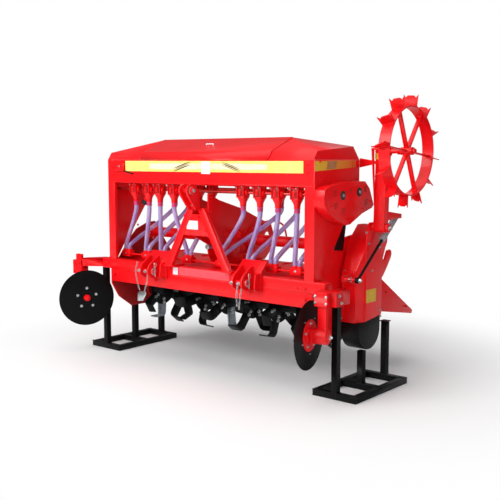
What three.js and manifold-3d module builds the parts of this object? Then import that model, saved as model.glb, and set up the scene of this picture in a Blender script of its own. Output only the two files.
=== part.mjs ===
// Rotary-tiller seed drill, parked on its two shop stands.
// Millimetres. +X is the drive side, +Y the rear, +Z up.
// Inside this file x = 0 is the middle of the machine, y = 0 the middle of the stands, z = 0 the floor;
// the whole group is then moved so that its footprint is centred on the origin.
import * as THREE from 'three';
import { mergeVertices } from 'three/addons/utils/BufferGeometryUtils.js';
import { ConvexGeometry } from 'three/addons/geometries/ConvexGeometry.js';
import Module from 'manifold-3d';

const wasm = await Module();
wasm.setup();

// ---------- driving dimensions ----------
const gap = 0.3; // between pieces that touch

// working width: everything across the machine is measured from it
const hoodHalf = 918;

// stands
const standWidth = 318;
const standDepth = 615;
const standTube = 40;
const leftCentrePostTop = 330;
const rightCentrePostTop = 250; // just under the guard
const standRearPostTop = 400;
const postY = -(standDepth - standTube) / 2; // middle of the front posts

// main frame
const beamHalf = hoodHalf + 107;
const standSpacing = 2 * beamHalf + 75; // the stands' posts stand just outside the beam's ends
const beamSize = 75;
const beamFront = -355;
const beamTop = 715;
const hoodThick = 6;
const hoodTop = 736;
const lipBottom = 548;
const sidePlate = 12;
const sidePlateBottom = 332;
const driveY = 72; // rotor shaft, cross tube and gearbox line
const crossTubeZ = 893;
const crossTubeRadius = 38;

// gearbox and hitch
const gearboxHalf = 78;
const gearboxFront = -40;
const gearboxRear = 190;
const gearboxTop = 985;
const ptoZ = 860;
const ptoFront = -290;
const bracePlate = 12;
const frameFront = -400;
const frameLeg = 62;
const frameLegDepth = 30;
const frameFoot = 268;
const frameTop = 1130;
const topPinY = -480;
const topPinZ = 1250;
const hitchX = 430;
const hitchY = -440;
const hitchZ = 675;
const hitchPinRadius = 14;

// rotor
const rotorZ = 450;
const rotorRadius = 240;
const rotorTube = 45;
const flangeRadius = 125;
const flangeCount = 8;
const flangePitch = (2 * hoodHalf - 212) / (flangeCount - 1);
const bladesPerFlange = 6;

// drive case
const caseInner = hoodHalf + 27;
const caseOuter = caseInner + 145;
const caseFront = -55;
const caseRear = 188;
const caseFootFront = 428;
const caseFootRear = 455;
const guardRadius = 128;
const guardZ = 375;

// tail board
const tailHinge = { y: 404, z: 664 };
const tailTip = { y: 868, z: 372 };
const tailHalf = hoodHalf + 26;

// hopper
const hopperFront = -355;
const hopperRear = 135;
const hopperBottom = 1287;
const hopperTop = 1450;
const hopperWall = 4;
const dividerThick = 4;
const dividerDrop = 25; // below the hopper's rim
const panelInner = hoodHalf + 12;
const panelThick = 10;
const chainCaseOuter = panelInner + 90;
const postWidth = 72;
const lidSkin = 3;
const lidOverhang = 5; // past the hopper's front
const eave = { y: -324, z: 1504 }; // the bend above the front skirt
const ridge = { y: -112, z: 1595 };
const rearBend = { y: 70, z: 1536 };
const eaveHalf = panelInner + 6;
const ridgeHalf = eaveHalf - 342;
const lidHalf = ridgeHalf - 5;
const lidPin = { y: 155, z: 1453 }; // hinge line along the rear edge
const lidPinRadius = 4;

// feed units
const frontFeedY = -300;
const rearFeedY = 95;
const feedShaftZ = 1240;
const feedShaftRadius = 10;
const feedBore = 14;
const feedSeat = feedShaftRadius + 0.4; // in the end panels that carry the shaft
const frontCups = [-696, -557, -443, -302, 334, 476, 622, 771];
const rearCups = [-690, -550, -430, -300, 340, 480, 625, 770];
const boots = [-868, -650, -490, -225, 91, 341, 535, 728];
const spoutBottom = 1152;
const spoutRadius = 20;
const hoseRadius = 16;
const bootTop = 770;
const bootY = -235;

// ground wheel, its arm and strut
const armInner = caseOuter + 18;
const armOuter = armInner + 78;
const armFront = 41;
const armBack = 90;
const armPivot = { y: 66, z: 1030 };
const axle = { y: 78, z: 1504 };
const wheelX = armOuter + 127;
const rimRadius = 270;
const rimWidth = 78;
const rimThick = 6;
const lugCount = 12;
const lugHeight = 74;
const lugSkew = 20; // degrees, the lugs lie askew across the rim
const spokeCount = 6;
const wheelTurn = 23.7; // degrees, how the wheel happens to stand
const spokeWidth = 30;
const hubRadius = 24;
const strutX = armInner + 20;
const strutLow = { y: -160, z: 722 };
const strutHigh = { y: 290, z: 1092 };
const strutRod = 9;
const strutSleeve = 20;

// discs
const discRadius = 210;
const discThick = 5;
const rightStem = { x: beamHalf + 44, y: -440 };
const leftStem = { x: -beamHalf - 145, y: postY - 137 };
const leftStemShift = -40; // the left stem stands beside its hub's middle
const leftStemTop = 735;
const discZ = 412;
const discReach = 88;
const rightDiscAngle = 11; // the outer face turned towards the rear
const leftDiscAngle = -24; // the inner face turned towards the front

// ---------- materials ----------
const red = 0xd8121a;
const paint = (color) => new THREE.MeshStandardMaterial({ color, roughness: 0.35, metalness: 0 });
const redPaint = () => paint(red);
const blackPaint = () => paint(0x17181a);
const steel = () => new THREE.MeshStandardMaterial({ color: 0xb4b6b8, roughness: 0.35, metalness: 1 });
const hosePlastic = () => new THREE.MeshStandardMaterial({ color: 0xc08ad0, roughness: 0.4, metalness: 0 });

// ---------- shape helpers ----------
const group = new THREE.Group();

function add(name, geometry, material) {
  const mesh = new THREE.Mesh(geometry, material);
  mesh.name = name;
  group.add(mesh);
  return mesh;
}

function box(x0, x1, y0, y1, z0, z1) {
  const shape = new THREE.BoxGeometry(x1 - x0, y1 - y0, z1 - z0);
  return shape.translate((x0 + x1) / 2, (y0 + y1) / 2, (z0 + z1) / 2);
}

// a solid cylinder between two points
function rod(from, to, radius, sides = 16) {
  const a = new THREE.Vector3(...from);
  const b = new THREE.Vector3(...to);
  const shape = new THREE.CylinderGeometry(radius, radius, a.distanceTo(b), sides);
  const turn = new THREE.Quaternion().setFromUnitVectors(
    new THREE.Vector3(0, 1, 0),
    b.clone().sub(a).normalize(),
  );
  shape.applyQuaternion(turn);
  const middle = a.add(b).multiplyScalar(0.5);
  return shape.translate(middle.x, middle.y, middle.z);
}

function outlineShape(points) {
  return new THREE.Shape(points.map((p) => new THREE.Vector2(...p)));
}

// an outline in (y, z) made solid from x0 to x1
function alongX(shape, x0, x1, curveSegments = 10) {
  const solid = new THREE.ExtrudeGeometry(shape, { depth: x1 - x0, bevelEnabled: false, curveSegments });
  solid.applyMatrix4(new THREE.Matrix4().set(0, 0, 1, x0, 1, 0, 0, 0, 0, 1, 0, 0, 0, 0, 0, 1));
  return solid;
}

// an outline in (x, z) made solid from y0 to y1
function alongY(shape, y0, y1, curveSegments = 10) {
  const solid = new THREE.ExtrudeGeometry(shape, { depth: y1 - y0, bevelEnabled: false, curveSegments });
  solid.applyMatrix4(new THREE.Matrix4().set(1, 0, 0, 0, 0, 0, -1, y1, 0, 1, 0, 0, 0, 0, 0, 1));
  return solid;
}

// an outline in (x, y) made solid from z0 to z1
function alongZ(shape, z0, z1, curveSegments = 10) {
  const solid = new THREE.ExtrudeGeometry(shape, { depth: z1 - z0, bevelEnabled: false, curveSegments });
  return solid.translate(0, 0, z0);
}

// the outline of a bent sheet: the given line, and the same line moved sideways by its thickness
function sheetOutline(line, thick) {
  const points = line.map((p) => new THREE.Vector2(...p));
  const other = points.map((p, i) => {
    const before = points[Math.max(i - 1, 0)];
    const after = points[Math.min(i + 1, points.length - 1)];
    const into = (i === 0 ? after.clone().sub(p) : p.clone().sub(before)).normalize();
    const out = (i === points.length - 1 ? p.clone().sub(before) : after.clone().sub(p)).normalize();
    const n1 = new THREE.Vector2(into.y, -into.x);
    const n2 = new THREE.Vector2(out.y, -out.x);
    const n = n1.clone().add(n2).normalize();
    return p.clone().addScaledVector(n, thick / n.dot(n1));
  });
  return new THREE.Shape([...points, ...other.reverse()]);
}

function solidOf(geometry) {
  const bare = geometry.clone();
  bare.deleteAttribute('normal');
  bare.deleteAttribute('uv');
  const merged = mergeVertices(bare, 1e-4);
  return new wasm.Manifold(new wasm.Mesh({
    numProp: 3,
    vertProperties: Float32Array.from(merged.attributes.position.array),
    triVerts: Uint32Array.from(merged.index.array),
  }));
}

function geometryOf(solid) {
  const mesh = solid.getMesh();
  const geometry = new THREE.BufferGeometry();
  geometry.setAttribute('position', new THREE.BufferAttribute(new Float32Array(mesh.vertProperties), 3));
  geometry.setIndex(new THREE.BufferAttribute(new Uint32Array(mesh.triVerts), 1));
  return geometry;
}

function join(...pieces) {
  return geometryOf(pieces.map(solidOf).reduce((whole, next) => whole.add(next)));
}

function cut(piece, ...tools) {
  return geometryOf(tools.map(solidOf).reduce((left, tool) => left.subtract(tool), solidOf(piece)));
}

// a plate between x0 and x1 with round holes through it, each hole as [y, z, radius]
function piercedPlate(points, x0, x1, holes) {
  const tools = holes.map(([y, z, radius]) => rod([x0 - 1, y, z], [x1 + 1, y, z], radius, 20));
  return cut(alongX(outlineShape(points), x0, x1), ...tools);
}

// ---------- stands ----------
function stand(centreX, frontPostTop, centrePostTop) {
  const half = standTube / 2;
  const x0 = centreX - standWidth / 2;
  const x1 = centreX + standWidth / 2;
  const y1 = standDepth / 2;
  const pieces = [
    box(x0, x0 + standTube, -y1, y1, 0, standTube),
    box(x1 - standTube, x1, -y1, y1, 0, standTube),
  ];
  const posts = [
    { y: postY, top: frontPostTop },
    { y: 0, top: centrePostTop },
    { y: y1 - half, top: standRearPostTop },
  ];
  for (const post of posts) {
    pieces.push(box(x0 + half, x1 - half, post.y - half, post.y + half, 0, standTube));
    pieces.push(box(centreX - half, centreX + half, post.y - half, post.y + half, standTube / 2, post.top));
  }
  return join(...pieces);
}

const clampBottom = 594;
const leftArmBottom = beamTop - beamSize + 6;
add('left_stand', stand(-standSpacing / 2, leftArmBottom - gap, leftCentrePostTop), blackPaint());
add('right_stand', stand(standSpacing / 2, clampBottom - gap, rightCentrePostTop), blackPaint());

// ---------- main frame ----------
const beamBack = beamFront + beamSize;
const beamBottom = beamTop - beamSize;
add('front_beam', box(-beamHalf, beamHalf, beamFront, beamBack, beamBottom, beamTop), redPaint());

const hoodLine = [
  [beamFront + 3 + hoodThick, lipBottom],
  [beamFront + 3 + hoodThick, beamBottom - gap - hoodThick],
  [beamBack + 10, beamBottom - gap - hoodThick],
  [driveY - 240, hoodTop - 32],
  [driveY - 130, hoodTop - hoodThick],
  [driveY + 130, hoodTop - hoodThick],
  [tailHinge.y - 26, tailHinge.z + 2],
];
const hingeRodRadius = 8;
const hingeBore = hingeRodRadius + 0.4;
const knuckles = [-600, 0, 600];
const knuckleHalf = 40;
function hingeLug(x) {
  return alongX(outlineShape([
    [tailHinge.y - 60, tailHinge.z - 12],
    [tailHinge.y + 2, tailHinge.z - 14],
    [tailHinge.y + 15, tailHinge.z],
    [tailHinge.y + 8, tailHinge.z + 14],
    [tailHinge.y - 60, tailHinge.z + 30],
  ]), x, x + 12);
}
const hood = join(
  alongX(sheetOutline([...hoodLine].reverse(), hoodThick), -hoodHalf, hoodHalf),
  ...knuckles.flatMap((x) => [hingeLug(x - knuckleHalf - 18), hingeLug(x + knuckleHalf + 6)]),
);
const hingeEnd = knuckles[2] + knuckleHalf + 24;
function hingeRod(radius) {
  return rod([-hingeEnd, tailHinge.y, tailHinge.z], [hingeEnd, tailHinge.y, tailHinge.z], radius, 16);
}
add('hood', join(hood, hingeRod(hingeRodRadius)), redPaint());

const tubeHole = [[driveY, crossTubeZ, 20]];
function sidePlateOutline() {
  return [
    [beamFront + 3, beamBottom - gap],
    [beamFront + 3, lipBottom - 20],
    [-285, 420],
    [-160, sidePlateBottom],
    [driveY + 150, sidePlateBottom],
    [tailHinge.y - 60, 440],
    [tailHinge.y - 12, 560],
    [tailHinge.y - 12, tailHinge.z - 20],
    [driveY + 190, hoodTop],
    [driveY + 95, crossTubeZ - 30],
    [driveY + 75, crossTubeZ + 50],
    [driveY + 20, crossTubeZ + 80],
    [driveY - 60, crossTubeZ + 72],
    [driveY - 170, crossTubeZ + 30],
    [driveY - 250, crossTubeZ - 48],
    [beamBack + gap, beamTop],
    [beamBack + gap, beamBottom - gap],
  ];
}
const plateInner = hoodHalf + gap;
const plateOuter = plateInner + sidePlate;
const bearingRadius = 75;
const bearingDepth = 21;
for (const side of [-1, 1]) {
  const inner = Math.min(side * plateInner, side * plateOuter);
  const plate = piercedPlate(sidePlateOutline(), inner, inner + sidePlate, tubeHole);
  const housing = rod(
    [side * (plateInner + 1), driveY, rotorZ],
    [side * (plateInner - bearingDepth), driveY, rotorZ],
    bearingRadius,
    20,
  );
  add(side < 0 ? 'left_side_plate' : 'right_side_plate', join(plate, housing), redPaint());
}

const braceOuter = gearboxHalf + gap + bracePlate;
function crossTube(x0, x1) {
  return join(
    rod([x0, driveY, crossTubeZ], [x1, driveY, crossTubeZ], crossTubeRadius),
    rod([x0, driveY, crossTubeZ], [x0 + 12, driveY, crossTubeZ], crossTubeRadius + 25),
    rod([x1 - 12, driveY, crossTubeZ], [x1, driveY, crossTubeZ], crossTubeRadius + 25),
  );
}
add('left_cross_tube', crossTube(-plateInner + gap, -braceOuter - gap), redPaint());
add('right_cross_tube', crossTube(braceOuter + gap, plateInner - gap), redPaint());

// ---------- gearbox, input shaft and hitch ----------
const gearbox = join(
  box(-gearboxHalf, gearboxHalf, gearboxFront, gearboxRear, hoodTop + gap, gearboxTop - 20),
  box(-gearboxHalf + 18, gearboxHalf - 18, gearboxFront + 18, gearboxRear - 18, gearboxTop - 30, gearboxTop),
  rod([0, gearboxFront + 10, ptoZ], [0, gearboxFront - 70, ptoZ], 52),
  rod([0, gearboxRear - 10, ptoZ], [0, gearboxRear + 25, ptoZ], 48),
);
add('gearbox', cut(gearbox, rod([0, gearboxFront - 71, ptoZ], [0, gearboxFront - 40, ptoZ], 25)), redPaint());
add('pto_shaft', join(
  rod([0, gearboxFront - 40 - gap, ptoZ], [0, ptoFront, ptoZ], 17.5),
  rod([0, gearboxFront - 90, ptoZ], [0, gearboxFront - 105, ptoZ], 24),
), steel());

const braceHoles = [
  ...[-190, -160, -130, -100, -70].map((y) => [y, 936, 27]),
  ...[-57, -27, 3].map((y) => [y, 836, 34]),
  [255, 905, 30],
  [driveY, crossTubeZ, 20],
];
function braceOutline() {
  return [
    [frameFront + frameLegDepth + gap, 1228],
    [-261, 1182],
    [-34, 1117],
    [152, 1040],
    [300, 985],
    [345, 880],
    [300, 800],
    [gearboxRear + 40, hoodTop + gap],
    [-150, hoodTop + gap],
    [-185, 790],
    [-200, 868],
    [frameFront + frameLegDepth + gap, 952],
  ];
}
for (const side of [-1, 1]) {
  const x = side * (gearboxHalf + gap + bracePlate / 2);
  const name = side < 0 ? 'left_brace_plate' : 'right_brace_plate';
  add(name, piercedPlate(braceOutline(), x - bracePlate / 2, x + bracePlate / 2, braceHoles), redPaint());
}

const footPlate = 12;
const legBottom = beamTop + footPlate;
const crossPlateTop = 1088;
const crossPlateBottom = 945;
const legTop = 45;
function legAt(z) {
  return frameFoot - (frameFoot - legTop) * (z - legBottom) / (frameTop - legBottom);
}
function legOutline(side) {
  const half = frameLeg / 2;
  return outlineShape([
    [side * legAt(legBottom) - half, legBottom],
    [side * legAt(legBottom) + half, legBottom],
    [side * legAt(frameTop) + half, frameTop],
    [side * legAt(frameTop) - half, frameTop],
  ]);
}
const aFrame = join(
  alongY(legOutline(1), frameFront, frameFront + frameLegDepth),
  alongY(legOutline(-1), frameFront, frameFront + frameLegDepth),
  alongY(outlineShape([
    [-legAt(crossPlateBottom), crossPlateBottom],
    [legAt(crossPlateBottom), crossPlateBottom],
    [legAt(crossPlateTop), crossPlateTop],
    [-legAt(crossPlateTop), crossPlateTop],
  ]), frameFront + 2, frameFront + 14),
);
const feet = [-frameFoot, frameFoot].map((x) => (
  box(x - 45, x + 45, frameFront - 2, beamBack - 4, beamTop + gap, beamTop + footPlate + gap)
));
add('a_frame', join(aFrame, ...feet), redPaint());

const clevisGap = 26;
const clevisPlate = 14;
const clevisOutline = [
  [frameFront - gap, 1120],
  [frameFront - gap, 1215],
  [frameFront + frameLegDepth, 1222],
  [topPinY + 30, topPinZ + 36],
  [topPinY, topPinZ + 44],
  [topPinY - 34, topPinZ + 26],
  [topPinY - 44, topPinZ],
  [topPinY - 30, topPinZ - 34],
  [frameFront - 34, 1120],
];
const clevis = join(
  alongX(outlineShape(clevisOutline), -clevisGap - clevisPlate, -clevisGap),
  alongX(outlineShape(clevisOutline), clevisGap, clevisGap + clevisPlate),
  box(-clevisGap - clevisPlate, clevisGap + clevisPlate, frameFront - 14, frameFront - gap, 1125, 1200),
);
const pinOver = clevisGap + clevisPlate + 14;
const topPin = join(
  rod([-pinOver, topPinY, topPinZ], [pinOver, topPinY, topPinZ], 12),
  rod([pinOver - 6, topPinY, topPinZ], [pinOver + 6, topPinY, topPinZ], 22),
);
add('top_link_clevis', join(clevis, topPin), redPaint());

const hitchCheek = 14;
const hitchHalfGap = 32;
const hitchCheekOutline = [
  [beamFront - 10, beamBottom - 20],
  [beamFront - 10, beamTop + 64],
  [beamFront - 36, beamTop + 58],
  [hitchY - 24, hitchZ + 48],
  [hitchY - 42, hitchZ + 22],
  [hitchY - 46, hitchZ - 4],
  [hitchY - 34, hitchZ - 32],
  [hitchY - 8, hitchZ - 48],
];
const hitchStayOutline = [
  [beamFront - 10, beamBottom - 14],
  [beamFront - 10, beamTop + 20],
  [hitchY + 26, beamTop + 12],
  [hitchY + 14, beamBottom - 2],
  [hitchY + 34, beamBottom - 16],
];
// the plate behind the cheeks, leaning back over the beam
const hitchPlateLine = [
  [beamFront - gap - 12, beamBottom - 20],
  [beamFront - gap - 12, beamTop + 24],
  [beamFront + 50, beamTop + 92],
];
for (const side of [-1, 1]) {
  const where = side < 0 ? 'left' : 'right';
  const x = side * hitchX;
  const bracket = join(
    alongX(sheetOutline(hitchPlateLine, 12), x - 95, x + 110),
    alongX(outlineShape(hitchCheekOutline), x - hitchHalfGap - hitchCheek, x - hitchHalfGap),
    alongX(outlineShape(hitchCheekOutline), x + hitchHalfGap, x + hitchHalfGap + hitchCheek),
    alongX(outlineShape(hitchStayOutline), x + 92, x + 104),
  );
  const reach = hitchHalfGap + hitchCheek;
  const pin = join(
    rod([x - reach - 26, hitchY, hitchZ], [x + reach + 20, hitchY, hitchZ], hitchPinRadius),
    rod([x + reach - 1, hitchY, hitchZ], [x + reach + 14, hitchY, hitchZ], hitchPinRadius + 9),
  );
  add(`${where}_lower_hitch`, join(bracket, pin), redPaint());
}

// ---------- rotor ----------
function blade() {
  // one L-shaped blade in its own frame: the shank runs out along +z and the foot turns along +x
  const shank = alongX(outlineShape([
    [-22, flangeRadius - 50],
    [24, flangeRadius - 50],
    [30, rotorRadius - 55],
    [8, rotorRadius - 4],
    [-30, rotorRadius - 14],
    [-26, rotorRadius - 70],
  ]), 0, 9);
  const foot = alongX(outlineShape([
    [8, rotorRadius - 4],
    [-30, rotorRadius - 14],
    [-28, rotorRadius - 24],
    [10, rotorRadius - 14],
  ]), 2, 92);
  return join(shank, foot);
}
const bladeShape = blade();
const rotorHalf = plateInner - bearingDepth - gap;
const rotorPieces = [rod([-rotorHalf, 0, 0], [rotorHalf, 0, 0], rotorTube, 14)];
for (let i = 0; i < flangeCount; i += 1) {
  const x = (i - (flangeCount - 1) / 2) * flangePitch;
  rotorPieces.push(rod([x - 5, 0, 0], [x + 5, 0, 0], flangeRadius, 14));
  for (let k = 0; k < bladesPerFlange; k += 1) {
    const hand = k % 2 === 0 ? 1 : -1;
    const one = bladeShape.clone();
    if (hand < 0) one.rotateZ(Math.PI);
    one.translate(hand * 4, 0, 0);
    one.rotateX(2 * Math.PI * (k + i * 0.35) / bladesPerFlange);
    rotorPieces.push(one.translate(x, 0, 0));
  }
}
const rotor = add('rotor', join(...rotorPieces), blackPaint());
rotor.position.set(0, driveY, rotorZ);

// ---------- side drive case ----------
function caseFoot(y) {
  return caseFootFront + (caseFootRear - caseFootFront) * (y - caseFront) / (caseRear - caseFront);
}
const caseBody = alongZ(outlineShape([
  [caseInner, caseFront],
  [caseOuter - 45, caseFront],
  [caseOuter - 10 - gap, caseFront + 50],
  [caseOuter - 10 - gap, caseRear],
  [caseInner, caseRear],
]), caseFootFront, 1040);
const caseSlope = alongX(outlineShape([
  [caseFront - 60, 760],
  [caseFront + 5, 760],
  [caseFront + 40, 860],
  [caseFront + 90, 960],
  [caseFront + 175, 1041],
  [caseFront - 60, 1041],
]), caseInner - 1, caseOuter + 1);
const caseUnder = alongX(outlineShape([
  [caseFront - 1, caseFootFront - 9],
  [caseRear + 1, caseFootFront - 9],
  [caseRear + 1, caseFoot(caseRear + 1)],
  [caseFront - 1, caseFoot(caseFront - 1)],
]), caseInner - 1, caseOuter + 1);
const caseShell = cut(caseBody, caseSlope, caseUnder);
const coverOutline = outlineShape([
  [caseFront + 52, caseFoot(caseFront + 52) + 4],
  [caseRear, caseFoot(caseRear) + 4],
  [caseRear, 698],
  [caseRear + 21, 715],
  [caseRear + 64, 763],
  [caseRear + 107, 817],
  [caseRear + 118, 842],
  [caseRear + 112, 863],
  [caseRear + 96, 872],
  [caseRear + 61, 867],
  [caseRear + 31, 811],
  [caseRear + 6, 818],
  [caseRear + 38, 889],
  [caseRear + 60, 925],
  [caseRear + 62, 960],
  [caseRear + 20, 1020],
  [armPivot.y + 30, 1062],
  [armPivot.y - 30, 1062],
  [caseFront + 60, 1000],
  [caseFront + 52, 900],
]);
const caseCover = alongX(coverOutline, caseOuter - 11, caseOuter);
const guardOutline = [];
for (let k = 0; k <= 14; k += 1) {
  const t = Math.PI + Math.PI * k / 14;
  guardOutline.push([driveY - 4 + guardRadius * Math.cos(t), guardZ + guardRadius * Math.sin(t)]);
}
for (const y of [driveY - 4 + guardRadius, driveY - 4 - guardRadius]) {
  guardOutline.push([y, caseFoot(y) - gap]);
}
add('drive_case_guard', alongX(outlineShape(guardOutline), caseInner, caseOuter - 14), blackPaint());
const caseSpacer = rod([plateOuter + gap, driveY, crossTubeZ], [caseInner + 1, driveY, crossTubeZ], 62, 20);
const armPin = join(
  rod([caseOuter - 5, armPivot.y, armPivot.z], [armOuter + 14, armPivot.y, armPivot.z], 16),
  rod([armOuter + 5, armPivot.y, armPivot.z], [armOuter + 14, armPivot.y, armPivot.z], 26),
);
const strutBracket = join(
  box(caseInner + 20, caseOuter - 60, caseFront - 10, caseFront + 1, strutLow.z - 20, strutLow.z + 34),
  alongX(outlineShape([
    [strutLow.y - 18, strutLow.z - 16],
    [caseFront + 1, strutLow.z - 20],
    [caseFront + 1, strutLow.z + 30],
    [strutLow.y - 18, strutLow.z + 16],
  ]), caseOuter - 70, caseOuter - 60),
  rod([caseOuter - 70, strutLow.y, strutLow.z], [strutX + 20, strutLow.y, strutLow.z], 8),
);
add('side_drive_case', join(caseShell, caseCover, caseSpacer, armPin, strutBracket), redPaint());

// ---------- tail board ----------
const tailThick = 5;
const tailAlong = new THREE.Vector2(tailTip.y - tailHinge.y, tailTip.z - tailHinge.z).normalize();
function alongTail(distance) {
  return [tailHinge.y + tailAlong.x * distance, tailHinge.z + tailAlong.y * distance];
}
const tailStart = alongTail(26);
const endPlate = [
  [tailHinge.y + 20, 425],
  [tailTip.y - 12, tailTip.z - 22],
  [tailTip.y, tailTip.z],
  tailStart,
];
const tail = join(
  alongX(sheetOutline([tailStart, [tailTip.y, tailTip.z]], tailThick), -tailHalf + 1, tailHalf - 1),
  alongX(outlineShape(endPlate), tailHalf - 8, tailHalf),
  alongX(outlineShape(endPlate), -tailHalf, -tailHalf + 8),
  ...knuckles.flatMap((x) => [
    rod([x - knuckleHalf, tailHinge.y, tailHinge.z], [x + knuckleHalf, tailHinge.y, tailHinge.z], 16, 16),
    alongX(sheetOutline([alongTail(10), alongTail(60)], tailThick), x - knuckleHalf, x + knuckleHalf),
  ]),
);
add('tail_board', cut(tail, hingeRod(hingeBore)), redPaint());

// ---------- hopper ----------
const hopperOuter = box(-panelInner + gap, panelInner - gap, hopperFront, hopperRear, hopperBottom, hopperTop);
// the trough is open at its ends, where the end panels close it
const hopperHollow = box(
  -panelInner - 1,
  panelInner + 1,
  hopperFront + hopperWall,
  hopperRear - hopperWall,
  hopperBottom + hopperWall,
  hopperTop + 1,
);
add('hopper_divider', box(
  -panelInner + gap,
  panelInner - gap,
  ridge.y - dividerThick / 2,
  ridge.y + dividerThick / 2,
  hopperBottom + hopperWall + gap,
  hopperTop - dividerDrop,
), redPaint());
const lidKnuckles = [-450, 0, 450];
const lidLugs = lidKnuckles.flatMap((x) => [x - 42, x + 30].map((x0) => join(
  rod([x0, lidPin.y, lidPin.z], [x0 + 12, lidPin.y, lidPin.z], 9, 12),
  box(x0, x0 + 12, hopperRear - 1, lidPin.y, lidPin.z - 30, hopperTop - 1),
)));
const lidHingePins = lidKnuckles.map((x) => (
  rod([x - 36, lidPin.y, lidPin.z], [x + 36, lidPin.y, lidPin.z], lidPinRadius, 12)
));
add('hopper_shell', join(cut(hopperOuter, hopperHollow), ...lidLugs, ...lidHingePins), redPaint());

const endPanelHoles = [[frontFeedY, feedShaftZ, feedSeat], [rearFeedY, feedShaftZ, feedSeat]];
function endPanelOutline() {
  return [
    [beamFront, beamTop + gap],
    [beamBack - 6, beamTop + gap],
    [-213, 824],
    [-126, 922],
    [-27, 1059],
    [hopperRear + 4, 1290],
    [hopperRear + 4, hopperTop],
    [hopperFront, hopperTop],
  ];
}
for (const side of [-1, 1]) {
  const where = side < 0 ? 'left' : 'right';
  const inner = side * panelInner;
  const outer = side * (panelInner + panelThick);
  const panel = piercedPlate(endPanelOutline(), Math.min(inner, outer), Math.max(inner, outer), endPanelHoles);
  const postIn = side * (panelInner - postWidth + panelThick);
  const postOut = side * (panelInner + 1);
  const post = box(
    Math.min(postIn, postOut),
    Math.max(postIn, postOut),
    hopperFront,
    hopperFront + 24,
    beamTop + gap,
    hopperBottom - gap,
  );
  add(`${where}_end_panel`, join(panel, post), redPaint());
}

// ---------- lid ----------
const lidBottom = hopperTop + gap;
const lidLine = [
  [hopperFront - lidOverhang, lidBottom],
  [eave.y, eave.z],
  [ridge.y, ridge.z],
  [rearBend.y, rearBend.z],
  [hopperRear + 2, hopperTop + 4],
  [hopperRear - 22, lidBottom],
];
// a hip end's hull from x0 outwards: its outside with inset 0, its hollow with the skin as inset
function capHull(inset, x0) {
  const end = eaveHalf - inset;
  const bottom = lidBottom - inset;
  const outline = [
    [hopperFront - lidOverhang + inset, bottom],
    [eave.y + inset, eave.z - inset / 2],
    [rearBend.y - inset, rearBend.z - inset],
    [hopperRear + 10 - inset, bottom],
  ];
  const points = [
    new THREE.Vector3(x0, ridge.y, ridge.z - inset),
    new THREE.Vector3(ridgeHalf, ridge.y, ridge.z - inset),
  ];
  for (const [y, z] of outline) {
    points.push(new THREE.Vector3(x0, y, z), new THREE.Vector3(end, y, z));
  }
  return new ConvexGeometry(points);
}
const lidBody = join(
  alongX(sheetOutline([...lidLine].reverse(), lidSkin), -lidHalf, lidHalf),
  ...lidKnuckles.flatMap((x) => [
    rod([x - 24, lidPin.y, lidPin.z], [x + 24, lidPin.y, lidPin.z], 9, 12),
    box(x - 24, x + 24, hopperRear - 1, lidPin.y, lidPin.z + 3, lidPin.z + 9),
  ]),
);
const lidBores = lidKnuckles.map((x) => (
  rod([x - 25, lidPin.y, lidPin.z], [x + 25, lidPin.y, lidPin.z], lidPinRadius + 0.5, 12)
));
add('hopper_lid', cut(lidBody, ...lidBores), redPaint());
const hipCap = cut(capHull(0, lidHalf + 2), capHull(lidSkin, lidHalf));
add('right_hip_cap', hipCap, redPaint());
add('left_hip_cap', geometryOf(solidOf(hipCap).mirror([1, 0, 0])), redPaint());

// ---------- feed units ----------
function feedBank(y, cups) {
  const pieces = [box(-panelInner + 4, panelInner - 4, y - 12, y + 12, hopperBottom - 8 - gap, hopperBottom - gap)];
  for (const x of cups) {
    pieces.push(box(x - 30, x + 30, y - 30, y + 30, 1212, hopperBottom - gap - 4));
    pieces.push(new ConvexGeometry([
      ...[-30, 30].flatMap((u) => [-30, 30].map((v) => new THREE.Vector3(x + u, y + v, 1214))),
      ...[-16, 16].flatMap((u) => [-16, 16].map((v) => new THREE.Vector3(x + u, y + v, 1178))),
    ]));
    pieces.push(rod([x, y, 1180], [x, y, spoutBottom], spoutRadius, 8));
  }
  const bank = join(...pieces);
  const bore = rod([-panelInner, y, feedShaftZ], [panelInner, y, feedShaftZ], feedBore, 8);
  return cut(bank, bore);
}
add('front_feed_bank', feedBank(frontFeedY, frontCups), redPaint());
add('rear_feed_bank', feedBank(rearFeedY, rearCups), redPaint());
const chainCaseInner = panelInner + panelThick + gap;
const shaftEnd = chainCaseInner + 20;
for (const [name, y] of [['front_feed_shaft', frontFeedY], ['rear_feed_shaft', rearFeedY]]) {
  add(name, rod([-panelInner - panelThick - 12, y, feedShaftZ], [shaftEnd, y, feedShaftZ], feedShaftRadius, 12), steel());
}

const chainCase = alongX(outlineShape([
  [-86, 1054],
  [51, 1115],
  [170, 1147],
  [188, 1166],
  [137, 1270],
  [82, 1317],
  [-146, 1316],
  [-307, 1294],
  [-359, 1272],
  [-368, 1225],
  [-363, 1184],
  [-326, 1141],
  [-240, 1088],
  [-130, 1051],
]), chainCaseInner, chainCaseOuter);
add('chain_case', cut(
  chainCase,
  rod([chainCaseInner - 1, frontFeedY, feedShaftZ], [shaftEnd + 6, frontFeedY, feedShaftZ], feedBore, 16),
  rod([chainCaseInner - 1, rearFeedY, feedShaftZ], [shaftEnd + 6, rearFeedY, feedShaftZ], feedBore, 16),
), redPaint());

// ---------- boots and hoses ----------
const bootPieces = [box(-hoodHalf, hoodHalf, bootY - 14, bootY + 14, bootTop - 26, bootTop - 16)];
for (const x of boots) {
  bootPieces.push(box(x - 44, x + 44, bootY - 24, bootY + 24, hoodTop - 8, bootTop));
}
add('boot_bar', join(...bootPieces), redPaint());

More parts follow.
